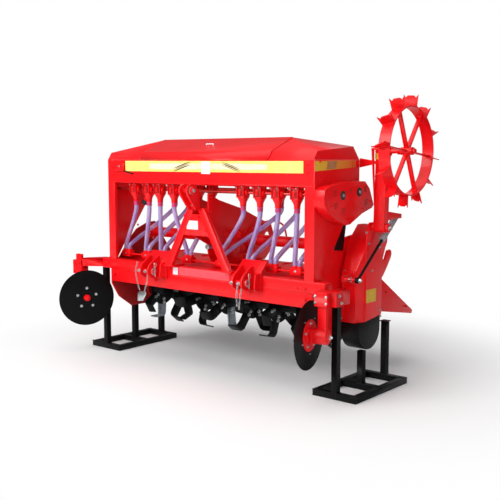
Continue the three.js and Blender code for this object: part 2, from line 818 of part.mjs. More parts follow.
// the bends of each hose between its spout and its boot, picked by eye
// how far down and how far across a hose has come at each of its bends
const hoseBends = [[0.3, 0.25], [0.6, 0.58], [0.85, 0.87]];
const hoseLead = 52; // straight down out of the spout
const hoseLanding = 36; // straight down into the boot
const hosePair = 20; // the two hoses of a boot stand this far from its middle
function hoseRoute(cupX, cupY, bootX) {
  const leave = spoutBottom - hoseLead;
  const land = bootTop + hoseLanding;
  const bends = hoseBends.map(([down, across]) => [
    cupX + (bootX - cupX) * across,
    cupY + (bootY - cupY) * across,
    leave + (land - leave) * down,
  ]);
  return [
    [cupX, cupY, spoutBottom],
    [cupX, cupY, leave],
    ...bends,
    [bootX, bootY, land],
    [bootX, bootY, bootTop],
  ];
}
function hose(route) {
  const points = route.map((p) => new THREE.Vector3(...p));
  points[0].z -= gap;
  points[points.length - 1].z += gap;
  const line = new THREE.CatmullRomCurve3(points);
  const section = new THREE.Shape();
  for (let k = 0; k < 8; k += 1) {
    const t = 2 * Math.PI * k / 8;
    const at = [hoseRadius * Math.cos(t), hoseRadius * Math.sin(t)];
    if (k === 0) {
      section.moveTo(...at);
    } else {
      section.lineTo(...at);
    }
  }
  return new THREE.ExtrudeGeometry(section, { steps: 7, extrudePath: line });
}
boots.forEach((x, i) => {
  const front = hoseRoute(frontCups[i], frontFeedY, x - hosePair);
  add(`front_hose_${i + 1}`, hose(front), hosePlastic());
});
boots.forEach((x, i) => {
  const rear = hoseRoute(rearCups[i], rearFeedY, x + hosePair);
  add(`rear_hose_${i + 1}`, hose(rear), hosePlastic());
});

// ---------- ground wheel arm ----------
function armPlate() {
  return join(
    alongX(outlineShape([
      [armFront, armPivot.z],
      [armFront + 8, armPivot.z - 22],
      [armPivot.y, armPivot.z - 30],
      [armBack - 8, armPivot.z - 22],
      [armBack, armPivot.z],
      [armBack + 20, axle.z + 20],
      [armFront + 18, axle.z + 20],
    ]), armInner, armOuter),
    alongX(outlineShape([
      [armBack - 12, 1060],
      [armBack + 60, 1076],
      [strutHigh.y + 16, strutHigh.z - 14],
      [strutHigh.y + 16, strutHigh.z + 14],
      [armBack + 50, 1128],
      [armBack - 12, 1130],
    ]), strutX + 22, strutX + 30),
    alongX(outlineShape([
      [armFront + 4, 1160],
      [armFront + 4, 1190],
      [axle.y - 50, axle.z + 20],
      [axle.y - 74, axle.z + 20],
    ]), armInner, armInner + 8),
    box(armInner, armOuter, axle.y - 74, armFront + 40, axle.z + 8, axle.z + 20),
  );
}
const armSolid = cut(
  armPlate(),
  rod([armInner - 1, armPivot.y, armPivot.z], [armOuter + 1, armPivot.y, armPivot.z], 16.5),
  rod([armInner - 1, axle.y, axle.z], [armOuter + 1, axle.y, axle.z], 15.5),
);
add('wheel_arm', armSolid, redPaint());

// ---------- ground wheel ----------
function groundWheel() {
  const rimOuter = rod([-rimWidth / 2, 0, 0], [rimWidth / 2, 0, 0], rimRadius, 36);
  const rimInner = rod([-rimWidth, 0, 0], [rimWidth, 0, 0], rimRadius - rimThick, 36);
  const pieces = [cut(rimOuter, rimInner)];
  for (let k = 0; k < spokeCount / 2; k += 1) {
    const bar = box(-spokeWidth / 2, spokeWidth / 2, -4, 4, -rimRadius + 3, rimRadius - 3);
    pieces.push(bar.rotateX(THREE.MathUtils.degToRad(wheelTurn + 360 * k / spokeCount)));
  }
  const half = rimWidth / 2 + 6;
  for (let k = 0; k < lugCount; k += 1) {
    const lug = alongY(outlineShape([
      [-half + 4, rimRadius - 4],
      [half - 4, rimRadius - 4],
      [half, rimRadius + lugHeight],
      [half - 14, rimRadius + lugHeight - 20],
      [half - 26, rimRadius + lugHeight - 8],
      [-half + 26, rimRadius + lugHeight - 8],
      [-half + 14, rimRadius + lugHeight - 20],
      [-half, rimRadius + lugHeight],
    ]), -3, 3);
    lug.rotateZ(THREE.MathUtils.degToRad(lugSkew));
    pieces.push(lug.rotateX(THREE.MathUtils.degToRad(wheelTurn + 360 * k / lugCount)));
  }
  pieces.push(rod([-38, 0, 0], [42, 0, 0], hubRadius, 20));
  pieces.push(rod([armInner - 10 - wheelX, 0, 0], [60, 0, 0], 14.5, 20));
  return join(...pieces);
}
const wheel = add('ground_wheel', groundWheel(), redPaint());
wheel.position.set(wheelX, axle.y, axle.z);

// ---------- strut ----------
const strutAlong = new THREE.Vector3(0, strutHigh.y - strutLow.y, strutHigh.z - strutLow.z);
const strutLength = strutAlong.length();
strutAlong.normalize();
function onStrut(distance) {
  return [strutX, strutLow.y + strutAlong.y * distance, strutLow.z + strutAlong.z * distance];
}
const sleeveLength = 230;
const strutOverlap = 20; // rod inside the sleeve when fully out
const sleeveStart = strutLength - sleeveLength;
add('strut_rod', cut(
  join(
    rod(onStrut(8), onStrut(sleeveStart + strutOverlap), strutRod),
    rod([strutX - 12, strutLow.y, strutLow.z], [strutX + 12, strutLow.y, strutLow.z], 18, 20),
  ),
  rod([strutX - 13, strutLow.y, strutLow.z], [strutX + 13, strutLow.y, strutLow.z], 8.5, 16),
), blackPaint());
add('strut_sleeve', cut(
  join(
    rod(onStrut(sleeveStart), onStrut(strutLength - 12), strutSleeve),
    rod([strutX - 12, strutHigh.y, strutHigh.z], [strutX + 12, strutHigh.y, strutHigh.z], 18),
    rod([strutX - 12, strutHigh.y, strutHigh.z], [strutX + 22 - gap, strutHigh.y, strutHigh.z], 7, 12),
  ),
  rod(onStrut(sleeveStart - 1), onStrut(strutLength - 20), strutRod + 0.6),
), steel());

// ---------- discs ----------
function discAssembly(where, stem, angle, side, shift, top) {
  // side +1: hub and stem lie on +X of the disc, -1: on -X
  const turn = THREE.MathUtils.degToRad(angle);
  const axis = new THREE.Vector3(Math.cos(turn), Math.sin(turn), 0);
  const at = (distance, z = discZ) => [stem.x - side * axis.x * distance, stem.y - side * axis.y * distance, z];
  const disc = cut(
    join(
      rod(at(discReach - discThick / 2), at(discReach + discThick / 2), discRadius, 32),
      rod(at(discReach - 14), at(discReach), 97, 20),
      rod(at(discReach), at(discReach + 30), 36, 16),
    ),
    rod(at(discReach - 15), at(discReach + 12), 18.6, 20),
  );
  add(`${where}_disc`, disc, blackPaint());
  const hub = join(
    rod(at(discReach - 14 - gap), at(-34), 46, 24),
    rod(at(discReach + 11), at(discReach - 16), 18, 20),
    box(stem.x + shift - 30, stem.x + shift + 30, stem.y - 12, stem.y + 12, discZ, top),
  );
  add(`${where}_disc_stem`, hub, redPaint());
}
discAssembly('right', rightStem, rightDiscAngle, 1, 0, clampBottom + 60);
discAssembly('left', leftStem, leftDiscAngle, -1, leftStemShift, leftStemTop);
add('right_disc_bracket', join(
  box(rightStem.x - 66, rightStem.x + 85, rightStem.y + 12 + gap, beamFront - gap, clampBottom, 680),
  box(rightStem.x - 45, rightStem.x + 45, rightStem.y - 26, rightStem.y - 12 - gap, clampBottom, 680),
  box(rightStem.x - 45, rightStem.x - 30 - gap, rightStem.y - 20, rightStem.y + 20, clampBottom, 680),
  box(rightStem.x + 30 + gap, rightStem.x + 45, rightStem.y - 20, rightStem.y + 20, clampBottom, 680),
  box(rightStem.x - 7, rightStem.x + 70, rightStem.y + 20, -262, clampBottom, 680),
), redPaint());
const leftClamp = leftStem.x + leftStemShift;
add('left_disc_bracket', join(
  alongZ(outlineShape([
    [leftClamp + 49, leftStem.y - 16],
    [-beamHalf - gap, beamFront + 10],
    [-beamHalf - gap, postY + 20],
    [-beamHalf - 60, postY + 20],
    [leftClamp + 49, leftStem.y + 36],
  ]), leftArmBottom, beamTop - 6),
  box(leftClamp - 50, leftClamp + 50, leftStem.y - 26, leftStem.y - 12 - gap, 585, 690),
  box(leftClamp - 50, leftClamp - 30 - gap, leftStem.y - 20, leftStem.y + 40, 585, 690),
  box(leftClamp + 30 + gap, leftClamp + 50, leftStem.y - 20, leftStem.y + 40, 585, 690),
  box(leftClamp - 50, leftClamp + 50, leftStem.y + 12 + gap, leftStem.y + 40, 585, 690),
), redPaint());

// ---------- place the whole on its footprint ----------
group.updateMatrixWorld(true);
const bounds = new THREE.Box3();
group.traverse((item) => {
  if (item.isMesh) {
    bounds.expandByObject(item, true);
  }
});
group.position.set(-(bounds.min.x + bounds.max.x) / 2, -(bounds.min.y + bounds.max.y) / 2, -bounds.min.z);

export default group;
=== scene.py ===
# Rotary tiller seed drill on its two shop stands: the looks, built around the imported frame.
# Shapes are drawn in millimetres from the middle of the machine at floor level, x to the drive side,
# y to the rear, z up. finishPiece() moves them into the frame.
import math

import bpy
import bmesh
from mathutils import Matrix, Vector


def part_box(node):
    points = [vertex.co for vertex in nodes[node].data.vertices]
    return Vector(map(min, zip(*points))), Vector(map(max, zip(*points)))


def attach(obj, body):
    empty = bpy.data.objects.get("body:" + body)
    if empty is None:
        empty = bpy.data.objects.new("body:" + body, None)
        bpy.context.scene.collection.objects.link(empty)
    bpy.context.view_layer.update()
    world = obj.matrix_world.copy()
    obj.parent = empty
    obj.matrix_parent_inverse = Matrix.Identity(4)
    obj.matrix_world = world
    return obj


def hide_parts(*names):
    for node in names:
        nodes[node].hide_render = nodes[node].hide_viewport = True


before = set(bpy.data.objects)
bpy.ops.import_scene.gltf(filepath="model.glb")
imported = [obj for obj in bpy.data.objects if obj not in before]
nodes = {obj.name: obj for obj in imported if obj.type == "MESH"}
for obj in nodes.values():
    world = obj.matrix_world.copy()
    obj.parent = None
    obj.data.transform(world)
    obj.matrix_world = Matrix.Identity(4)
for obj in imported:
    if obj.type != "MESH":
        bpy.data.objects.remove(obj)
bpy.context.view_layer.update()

beamLow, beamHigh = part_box("front_beam")
standLow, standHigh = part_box("left_stand")
middle = Vector(((beamLow[0] + beamHigh[0]) / 2, (standLow[1] + standHigh[1]) / 2, 0))
toFrame = Matrix.Translation(middle) @ Matrix.Scale(0.001, 4)
print("frame loaded,", len(nodes), "nodes")


def at(x, y, z):
    return toFrame @ Vector((x, y, z))


# ---- camera ----

camera = {
    "place": (3757.7, -4311.9, 1450),
    "turn": 40.0,  # degrees round the machine, towards the drive side
    "tip": 6.34,  # degrees down
    "lens": 58.3,
}
cameraData = bpy.data.cameras.new("camera")
cameraData.lens = camera["lens"]
cameraData.sensor_width = 36
cameraObject = bpy.data.objects.new("camera", cameraData)
cameraObject.location = at(*camera["place"])
cameraObject.rotation_euler = (math.radians(90 - camera["tip"]), 0, math.radians(camera["turn"]))
bpy.context.scene.collection.objects.link(cameraObject)
bpy.context.scene.camera = cameraObject


# ---- materials ----


def linear(code, alpha=1.0):
    parts = [int(code[i:i + 2], 16) / 255 for i in (0, 2, 4)]
    return (*[p / 12.92 if p <= 0.04045 else ((p + 0.055) / 1.055) ** 2.4 for p in parts], alpha)


# adds one node, with settings as attributes, values by socket and links as socket: output
def addNode(tree, kind, values=None, links=None, **settings):
    node = tree.nodes.new(kind)
    for key, value in settings.items():
        setattr(node, key, value)
    for socket, value in (values or {}).items():
        node.inputs[socket].default_value = value
    for socket, output in (links or {}).items():
        tree.links.new(output, node.inputs[socket])
    return node


def newMaterial(name):
    material = bpy.data.materials.new(name)
    material.use_nodes = True
    tree = material.node_tree
    tree.nodes.clear()
    return material, tree, addNode(tree, "ShaderNodeTexCoord").outputs["Object"]


# a noise with features of about the given size in mm
def grain(tree, place, size, detail, roughness=0.5):
    return addNode(tree, "ShaderNodeTexNoise",
                   {"Scale": 1000 / size, "Detail": detail, "Roughness": roughness},
                   {"Vector": place}).outputs["Fac"]


def bumpFrom(tree, height, strength, distance):
    return addNode(tree, "ShaderNodeBump", {"Strength": strength, "Distance": distance},
                   {"Height": height}).outputs["Normal"]


def spread(tree, value, low, high):
    return addNode(tree, "ShaderNodeMapRange", {"To Min": low, "To Max": high},
                   {"Value": value}).outputs["Result"]


def shadeRamp(tree, factor, stops):
    ramp = addNode(tree, "ShaderNodeValToRGB", links={"Fac": factor})
    while len(ramp.color_ramp.elements) < len(stops):
        ramp.color_ramp.elements.new(0.5)
    for element, (place, shade) in zip(ramp.color_ramp.elements, stops):
        element.position = place
        element.color = shade
    return ramp.outputs["Color"]


def shaded(material, tree, values, links):
    shader = addNode(tree, "ShaderNodeBsdfPrincipled", values, links)
    addNode(tree, "ShaderNodeOutputMaterial", links={"Surface": shader.outputs["BSDF"]})
    return material


# Enamel sprayed over steel sheet and dried: even colour, slight orange peel, a little dust in patches.
def sprayedEnamel(name, base, dusty, worn, roughness, wornShare=0.0, peel=5.0, shine=0.3, coat=0.1):
    material, tree, place = newMaterial(name)
    patches = grain(tree, place, 320, 5.0, 0.6)
    colour = shadeRamp(tree, patches, [(0.35, linear(base)), (0.75, linear(dusty))])
    edge = 0.74 - wornShare
    wear = addNode(tree, "ShaderNodeMapRange", {"From Min": edge, "From Max": edge + 0.035},
                   {"Value": grain(tree, place, 22, 6.0, 0.7)})
    mixed = addNode(tree, "ShaderNodeMix", {"B": linear(worn)},
                    {"Factor": wear.outputs["Result"], "A": colour}, data_type="RGBA")
    return shaded(material, tree,
                  {"IOR": 1.5, "Specular IOR Level": shine, "Coat Weight": coat, "Coat Roughness": 0.12},
                  {"Base Color": mixed.outputs["Result"],
                   "Roughness": spread(tree, patches, roughness - 0.06, roughness + 0.1),
                   "Normal": bumpFrom(tree, grain(tree, place, peel, 2.0), 0.06, 0.0004)})


# Bare or plated steel: fine streaks left by turning or drawing, duller patches.
def bareSteel(name, bright, dull, roughness, streak=(1.0, 1.0, 1.0)):
    material, tree, place = newMaterial(name)
    along = addNode(tree, "ShaderNodeMapping", {"Scale": streak}, {"Vector": place})
    lines = grain(tree, along.outputs["Vector"], 6, 4.0)
    colour = shadeRamp(tree, grain(tree, place, 60, 4.0), [(0.35, linear(bright)), (0.7, linear(dull))])
    return shaded(material, tree, {"Metallic": 1.0},
                  {"Base Color": colour, "Roughness": spread(tree, lines, roughness - 0.08, roughness + 0.12),
                   "Normal": bumpFrom(tree, lines, 0.08, 0.0003)})


# Soft PVC hose, extruded round a spiral: lilac, half clear, with a faint ring every 9 mm of height.
def hosePvc(name):
    material, tree, place = newMaterial(name)
    colour = shadeRamp(tree, grain(tree, place, 90, 3.0), [(0.3, linear("b7a3ee")), (0.7, linear("ddcffb"))])
    rings = addNode(tree, "ShaderNodeTexWave", {"Scale": 1000 / 9 / 6.283, "Distortion": 0.3},
                    {"Vector": place}, bands_direction="Z")
    return shaded(material, tree,
                  {"IOR": 1.5, "Roughness": 0.18, "Transmission Weight": 0.5, "Coat Weight": 0.7,
                   "Coat Roughness": 0.08},
                  {"Base Color": colour, "Normal": bumpFrom(tree, rings.outputs["Fac"], 0.25, 0.0008)})


# Printed vinyl film stuck on the paint: flat colour, very slightly mottled.
def vinylFilm(name, base, faded):
    material, tree, place = newMaterial(name)
    colour = shadeRamp(tree, grain(tree, place, 45, 3.0), [(0.3, linear(base)), (0.75, linear(faded))])
    return shaded(material, tree, {"IOR": 1.5, "Roughness": 0.38}, {"Base Color": colour})


# Moulded rubber or plastic: dull, with a fine even grain.
def mouldedRubber(name, base, worn):
    material, tree, place = newMaterial(name)
    fine = grain(tree, place, 3, 3.0)
    colour = shadeRamp(tree, fine, [(0.35, linear(base)), (0.75, linear(worn))])
    return shaded(material, tree, {"IOR": 1.5, "Roughness": 0.6},
                  {"Base Color": colour, "Normal": bumpFrom(tree, fine, 0.15, 0.0004)})


redEnamel = sprayedEnamel("redEnamel", "f60a14", "ea0811", "b8060c", 0.34)
# painted shade: a darker red, used only where faces or sheets stand in for shade
paintedShadeRed = sprayedEnamel("paintedShadeRed", "a8060c", "90050a", "600406", 0.42)
# black enamel, also used as painted shade on the undersides of the hood and the tail board
blackEnamelAndShade = sprayedEnamel("blackEnamelAndShade", "0b0c0d", "111213", "232322", 0.42, shine=0.14, coat=0.03)
discEnamel = sprayedEnamel("discEnamel", "08090a", "0e0f10", "262829", 0.4, shine=0.12, coat=0.02)
tineEnamel = sprayedEnamel("tineEnamel", "0a0b0c", "141516", "3a3733", 0.42, 0.02, shine=0.14, coat=0.02)
zincPlate = bareSteel("zincPlate", "d8dadc", "b4b6b8", 0.28)
turnedSteel = bareSteel("turnedSteel", "c4c6c8", "a2a4a6", 0.3, (0.06, 1.0, 1.0))
oiledShaft = bareSteel("oiledShaft", "d8504c", "c03a38", 0.34, (0.06, 1.0, 1.0))
greyTube = sprayedEnamel("greyTubePaint", "9aa0a6", "8b9197", "6f7479", 0.36)
wornSteelAndHighlight = bareSteel("wornSteelAndHighlight", "aab4bc", "8a8f94", 0.4)
lilacHose = hosePvc("lilacHosePvc")
pinkFerrule = vinylFilm("pinkFerrulePvc", "d23f78", "c03468")
paleYellowFilm = vinylFilm("paleYellowFilm", "f6ee86", "efe56e")
creamFilm = vinylFilm("creamFilm", "fbf8d2", "f6f1bd")
whiteFilm = vinylFilm("whiteFilm", "f2f2f4", "e6e6ea")
yellowFilm = vinylFilm("yellowFilm", "e0b422", "d09f1a")
tanFilm = vinylFilm("tanFilm", "b98f5c", "a97f50")
inkFilm = vinylFilm("inkFilm", "2c3a28", "4a2e1c")
# painted sheen: a pink film, used on the front beam
paintedPinkSheen = vinylFilm("paintedPinkSheen", "f0505c", "e8454f")
# black rubber, also used as painted shade for the air slots of the chain case
blackRubberAndShade = mouldedRubber("blackRubberAndShade", "1c1d1d", "2b2c2c")
print("materials made")


# ---- how shapes are made and finished ----


def finishPiece(name, shape, material, body="root", stands=(), sharp=32):
    bmesh.ops.transform(shape, matrix=toFrame, verts=shape.verts)
    mesh = bpy.data.meshes.new(name)
    shape.to_mesh(mesh)
    shape.free()
    for polygon in mesh.polygons:
        polygon.use_smooth = True
    mesh.set_sharp_from_angle(angle=math.radians(sharp))
    for one in (material if isinstance(material, (list, tuple)) else [material]):
        mesh.materials.append(one)
    piece = bpy.data.objects.new(name, mesh)
    bpy.context.scene.collection.objects.link(piece)
    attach(piece, body)
    if stands:
        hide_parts(*stands)
    return piece


def turnTo(direction):
    return Vector((0, 0, 1)).rotation_difference(Vector(direction)).to_matrix().to_4x4()


def softenEdges(shape, edges, width, segments=2):
    if width > 0 and edges:
        bmesh.ops.bevel(shape, geom=edges, offset=width, offset_type="OFFSET", segments=segments,
                        profile=0.5, affect="EDGES", clamp_overlap=True, material=-1)


def sharpEdges(shape, verts=None, angle=32):
    limit = math.radians(angle)
    chosen = set(verts) if verts is not None else None
    return [e for e in shape.edges if len(e.link_faces) == 2 and e.calc_face_angle(0) > limit
            and (chosen is None or (e.verts[0] in chosen and e.verts[1] in chosen))]


def addBlock(shape, low, high, soft=0.0, slot=0):
    size = [h - l for l, h in zip(low, high)]
    centre = [(h + l) / 2 for l, h in zip(low, high)]
    made = bmesh.ops.create_cube(shape, size=1.0,
                                 matrix=Matrix.Translation(centre) @ Matrix.Diagonal((*size, 1)))["verts"]
    for face in {f for v in made for f in v.link_faces}:
        face.material_index = slot
    softenEdges(shape, list({e for v in made for e in v.link_edges}), soft)


def addBar(shape, start, end, radius, endRadius=None, sides=24, soft=0.0, slot=0, turn=0.0):
    start, end = Vector(start), Vector(end)
    place = Matrix.Translation((start + end) / 2) @ turnTo(end - start) @ Matrix.Rotation(turn, 4, "Z")
    made = bmesh.ops.create_cone(shape, cap_ends=True, segments=sides, radius1=radius,
                                 radius2=radius if endRadius is None else endRadius,
                                 depth=(end - start).length, matrix=place)["verts"]
    faces = {f for v in made for f in v.link_faces}
    for face in faces:
        face.material_index = slot
    if soft > 0:
        rims = [e for f in faces if len(f.verts) == sides and sides > 4 for e in f.edges]
        softenEdges(shape, list(set(rims)), soft)


# a bolt head on its washer, standing out from place along direction
def addBolt(shape, place, direction, across=19, washer=True, slot=0, turn=0.0):
    direction = Vector(direction).normalized()
    place = Vector(place)
    lift = across * 0.12
    if washer:
        addBar(shape, place, place + direction * lift, across * 0.72, sides=16, slot=slot)
    addBar(shape, place, place + direction * across * 0.62, across * 0.56, across * 0.53, sides=6, slot=slot,
           turn=turn)
    addBar(shape, place + direction * across * 0.6, place + direction * across * 0.85, across * 0.3, sides=10,
           slot=slot)


# a flat outline given as points, thickened by a step; the points are on one plane
def addPlate(shape, points, step, soft=0.0, slot=0):
    verts = [shape.verts.new(p) for p in points]
    face = shape.faces.new(verts)
    grown = bmesh.ops.extrude_face_region(shape, geom=[face])["geom"]
    moved = [v for v in grown if isinstance(v, bmesh.types.BMVert)]
    bmesh.ops.translate(shape, vec=Vector(step), verts=moved)
    faces = {f for v in verts + moved for f in v.link_faces}
    bmesh.ops.recalc_face_normals(shape, faces=list(faces))
    for one in faces:
        one.material_index = slot
    softenEdges(shape, list({e for f in faces for e in f.edges}), soft)


def plateX(shape, outline, x0, x1, soft=0.0, slot=0):
    addPlate(shape, [(x0, y, z) for y, z in outline], (x1 - x0, 0, 0), soft, slot)


def plateY(shape, outline, y0, y1, soft=0.0, slot=0):
    addPlate(shape, [(x, y0, z) for x, z in outline], (0, y1 - y0, 0), soft, slot)


# a profile of (distance along, radius) spun round the line from place along direction
def addTurned(shape, profile, place, direction, steps=40, slot=0):
    verts = [shape.verts.new((radius, 0, along)) for along, radius in profile]
    edges = [shape.edges.new(pair) for pair in zip(verts, verts[1:])]
    before = set(shape.faces)
    bmesh.ops.spin(shape, geom=verts + edges, axis=(0, 0, 1), cent=(0, 0, 0), angle=math.tau, steps=steps,
                   use_merge=True)
    faces = [f for f in shape.faces if f not in before]
    made = list({v for f in faces for v in f.verts})
    bmesh.ops.remove_doubles(shape, verts=made, dist=0.01)
    faces = [f for f in shape.faces if f not in before]
    bmesh.ops.recalc_face_normals(shape, faces=faces)
    for face in faces:
        face.material_index = slot
    made = list({v for f in faces for v in f.verts})
    bmesh.ops.transform(shape, matrix=Matrix.Translation(place) @ turnTo(direction), verts=made)


# a carried-over node with its flat faces joined up and its sharp edges rounded
def refineNode(node, material, soft=1.5, body="root", angle=35, extra=None, sharp=32):
    shape = bmesh.new()
    shape.from_mesh(nodes[node].data)
    bmesh.ops.transform(shape, matrix=toFrame.inverted(), verts=shape.verts)
    bmesh.ops.remove_doubles(shape, verts=shape.verts, dist=0.02)
    bmesh.ops.dissolve_limit(shape, angle_limit=math.radians(0.8), use_dissolve_boundaries=False,
                             verts=shape.verts, edges=shape.edges, delimit=set())
    softenEdges(shape, sharpEdges(shape, angle=angle), soft)
    bmesh.ops.triangulate(shape, faces=[f for f in shape.faces if len(f.verts) > 4])
    if extra:
        extra(shape)
    return finishPiece(node + "_finished", shape, material, body, [node], sharp)


# ---- hoses ----

hoses = {
    "diameter": 0.032, "spout": 1152, "leave": 1100, "land": 806, "boot": 770, "bootY": -235,
    "bends": [(0.3, 0.25), (0.6, 0.58), (0.85, 0.87)],  # share of the way down and across at each bend
    "front": {"y": -300, "cups": [-696, -557, -443, -302, 334, 476, 622, 771],
              "boots": [-888, -670, -510, -245, 71, 321, 515, 708]},
    "rear": {"y": 95, "cups": [-690, -550, -430, -300, 340, 480, 625, 770],
             "boots": [-848, -630, -470, -205, 111, 361, 555, 748]},
}


# points on a smooth line through the given ones, a few for each stretch
def smoothLine(points, each=5):
    points = [Vector(p) for p in points]
    padded = [points[0] * 2 - points[1], *points, points[-1] * 2 - points[-2]]
    line = []
    for a, b, c, d in zip(padded, padded[1:], padded[2:], padded[3:]):
        t1 = (b - a).length ** 0.5
        t2 = t1 + (c - b).length ** 0.5
        t3 = t2 + (d - c).length ** 0.5
        for k in range(each):
            t = t1 + (t2 - t1) * k / each
            ab = a.lerp(b, t / t1)
            bc = b.lerp(c, (t - t1) / (t2 - t1))
            cd = c.lerp(d, (t - t2) / (t3 - t2))
            line.append(ab.lerp(bc, t / t2).lerp(bc.lerp(cd, (t - t1) / (t3 - t1)), (t - t1) / (t2 - t1)))
    return [*line, points[-1]]


def hoseRoute(cupX, cupY, bootX):
    bends = [(cupX + (bootX - cupX) * across, cupY + (hoses["bootY"] - cupY) * across,
              hoses["leave"] + (hoses["land"] - hoses["leave"]) * down) for down, across in hoses["bends"]]
    return [(cupX, cupY, hoses["spout"]), (cupX, cupY, hoses["leave"]), *bends,
            (bootX, hoses["bootY"], hoses["land"]), (bootX, hoses["bootY"], hoses["boot"])]


for row in ("front", "rear"):
    for number, (cupX, bootX) in enumerate(zip(hoses[row]["cups"], hoses[row]["boots"]), 1):
        line = [at(*p) for p in smoothLine(hoseRoute(cupX, hoses[row]["y"], bootX))]
        curve = bpy.data.curves.new(f"{row}_hose_{number}_pvc", "CURVE")
        curve.dimensions = "3D"
        curve.bevel_depth = hoses["diameter"] / 2
        curve.bevel_resolution = 6
        curve.use_fill_caps = True
        spline = curve.splines.new("POLY")
        spline.points.add(len(line) - 1)
        for point, place in zip(spline.points, line):
            point.co = (*place, 1)
        spline.use_smooth = True
        curve.materials.append(lilacHose)
        hose = bpy.data.objects.new(curve.name, curve)
        bpy.context.scene.collection.objects.link(hose)
        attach(hose, "root")
        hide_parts(f"{row}_hose_{number}")
print("hoses made")


# ---- small parts used in many places ----


# everything that was made after the given vertices, moved by a matrix
def moveNew(shape, before, matrix):
    bmesh.ops.transform(shape, matrix=matrix, verts=[v for v in shape.verts if v not in before])


def addRing(shape, place, direction, inner, outer, thick, steps=28, slot=0):
    edge = min(thick, outer - inner) * 0.2
    addTurned(shape, [(0, inner), (0, outer - edge), (edge, outer), (thick - edge, outer),
                      (thick, outer - edge), (thick, inner), (0, inner)], place, direction, steps, slot)


# a strip of even width along a line of (x, z) points, standing out from y0 to y1
def addRibbon(shape, line, width, y0, y1, slot=0):
    points = [Vector(p) for p in line]
    left, right = [], []
    for i, p in enumerate(points):
        run = (points[min(i + 1, len(points) - 1)] - points[max(i - 1, 0)]).normalized()
        thin = width / 2 * (1 - abs(2 * i / (len(points) - 1) - 1) ** 3 * 0.85)
        left.append((p.x - run.y * thin, p.y + run.x * thin))
        right.append((p.x + run.y * thin, p.y - run.x * thin))
    for a, b, c, d in zip(left, left[1:], right[1:], right):
        plateY(shape, [a, b, c, d], y0, y1, 0, slot)


def addLink(shape, place, along, across, length, width, wire, slot=0):
    before = set(shape.verts)
    ring = [(math.sin(math.tau * k / 8) * wire, width / 2 - wire + math.cos(math.tau * k / 8) * wire)
            for k in range(9)]
    addTurned(shape, ring, (0, 0, 0), (0, 0, 1), 16, slot)
    for vert in shape.verts:
        if vert not in before:
            vert.co.x += math.copysign(length / 2 - width / 2, vert.co.x)
    x = Vector(along).normalized()
    z = x.cross(Vector(across)).normalized()
    turn = Matrix((x, z.cross(x), z)).transposed().to_4x4()
    moveNew(shape, before, Matrix.Translation(place) @ turn)


def addChain(shape, points, pitch=17, width=14, wire=2.2, slot=0):
    line = [Vector(p) for p in smoothLine(points, 8)]
    walked, count = 0.0, 0
    for a, b in zip(line, line[1:]):
        run = b - a
        while walked < run.length:
            across = Vector((0.9, -0.3, 0.2)) if count % 2 else Vector((0.3, 0.9, 0.1))
            place = a.lerp(b, walked / run.length)
            addLink(shape, place, run, across, pitch + 2 * wire + 2, width, wire, slot)
            walked += pitch
            count += 1
        walked -= run.length


# a run of weld: a row of small overlapping beads
def addWeld(shape, start, end, radius=3.2, slot=0):
    start, end = Vector(start), Vector(end)
    steps = max(2, int((end - start).length / 14))
    for k in range(steps):
        addBar(shape, start.lerp(end, k / steps), start.lerp(end, (k + 1.15) / steps), radius,
               radius * 0.75, sides=8, slot=slot)


def addBolts(shape, places, direction, across=19, slot=1):
    for number, place in enumerate(places):
        addBolt(shape, place, direction, across, True, slot, turn=0.37 * number)


# bolts in a circle round centre, on a face that looks along x or along y
def addBoltCircle(shape, centre, radius, direction, across, washer, start=0.0):
    flat = Vector((0, 1, 0)) if direction[0] else Vector((1, 0, 0))
    for k in range(6):
        spot = start + math.tau * k / 6
        out = flat * radius * math.cos(spot) + Vector((0, 0, radius * math.sin(spot)))
        addBolt(shape, Vector(centre) + out, direction, across, washer, 1, k)


# ---- ground wheel ----

wheel = {
    "centre": (1313, 78, 1504), "rimRadius": 270, "rimWidth": 78, "rimThick": 6,
    "lugs": 12, "lugThick": 6, "lugSkew": 20,
    "crown": [(-41, 266), (41, 266), (45, 344), (31, 324), (19, 336), (-19, 336), (-31, 324), (-45, 344)],
    "turn": 6.3, "spokes": 6, "spokeWidth": 30, "spokeThick": 8,
    "hub": 24, "hubFrom": -39, "hubTo": 42, "axle": 14.5, "axleFrom": -215, "axleTo": 60,
}
shape = bmesh.new()
half = wheel["rimWidth"] / 2
outer, inner = wheel["rimRadius"], wheel["rimRadius"] - wheel["rimThick"]
addTurned(shape, [(-half, inner + 1), (-half, outer - 1), (-half + 1, outer), (half - 1, outer),
                  (half, outer - 1), (half, inner + 1), (half - 1, inner), (-half + 1, inner),
                  (-half, inner + 1)],
          (0, 0, 0), (1, 0, 0), 144)
for k in range(wheel["lugs"]):
    before = set(shape.verts)
    plateY(shape, wheel["crown"], -wheel["lugThick"] / 2, wheel["lugThick"] / 2, 0.8)
    for side in (-1, 1):
        addWeld(shape, (-34, side * 4.5, outer + 1), (34, side * 4.5, outer + 1), 2.6)
    moveNew(shape, before, Matrix.Rotation(-math.radians(wheel["turn"] + 360 * k / wheel["lugs"]), 4, "X")
            @ Matrix.Rotation(math.radians(wheel["lugSkew"]), 4, "Z"))
for k in range(wheel["spokes"]):
    before = set(shape.verts)
    wide, thick = wheel["spokeWidth"] / 2, wheel["spokeThick"] / 2
    addBlock(shape, (-wide, -thick, 14), (wide, thick, inner + 1), 1)
    for side in (-1, 1):
        addWeld(shape, (-wide, side * (thick + 1), inner - 2), (wide, side * (thick + 1), inner - 2), 2.8)
    turned = wheel["turn"] + 30 + 360 * k / wheel["spokes"]
    moveNew(shape, before, Matrix.Rotation(-math.radians(turned), 4, "X"))
hub, hubFrom, hubTo = wheel["hub"], wheel["hubFrom"], wheel["hubTo"]
axle, axleFrom, axleTo = wheel["axle"], wheel["axleFrom"], wheel["axleTo"]
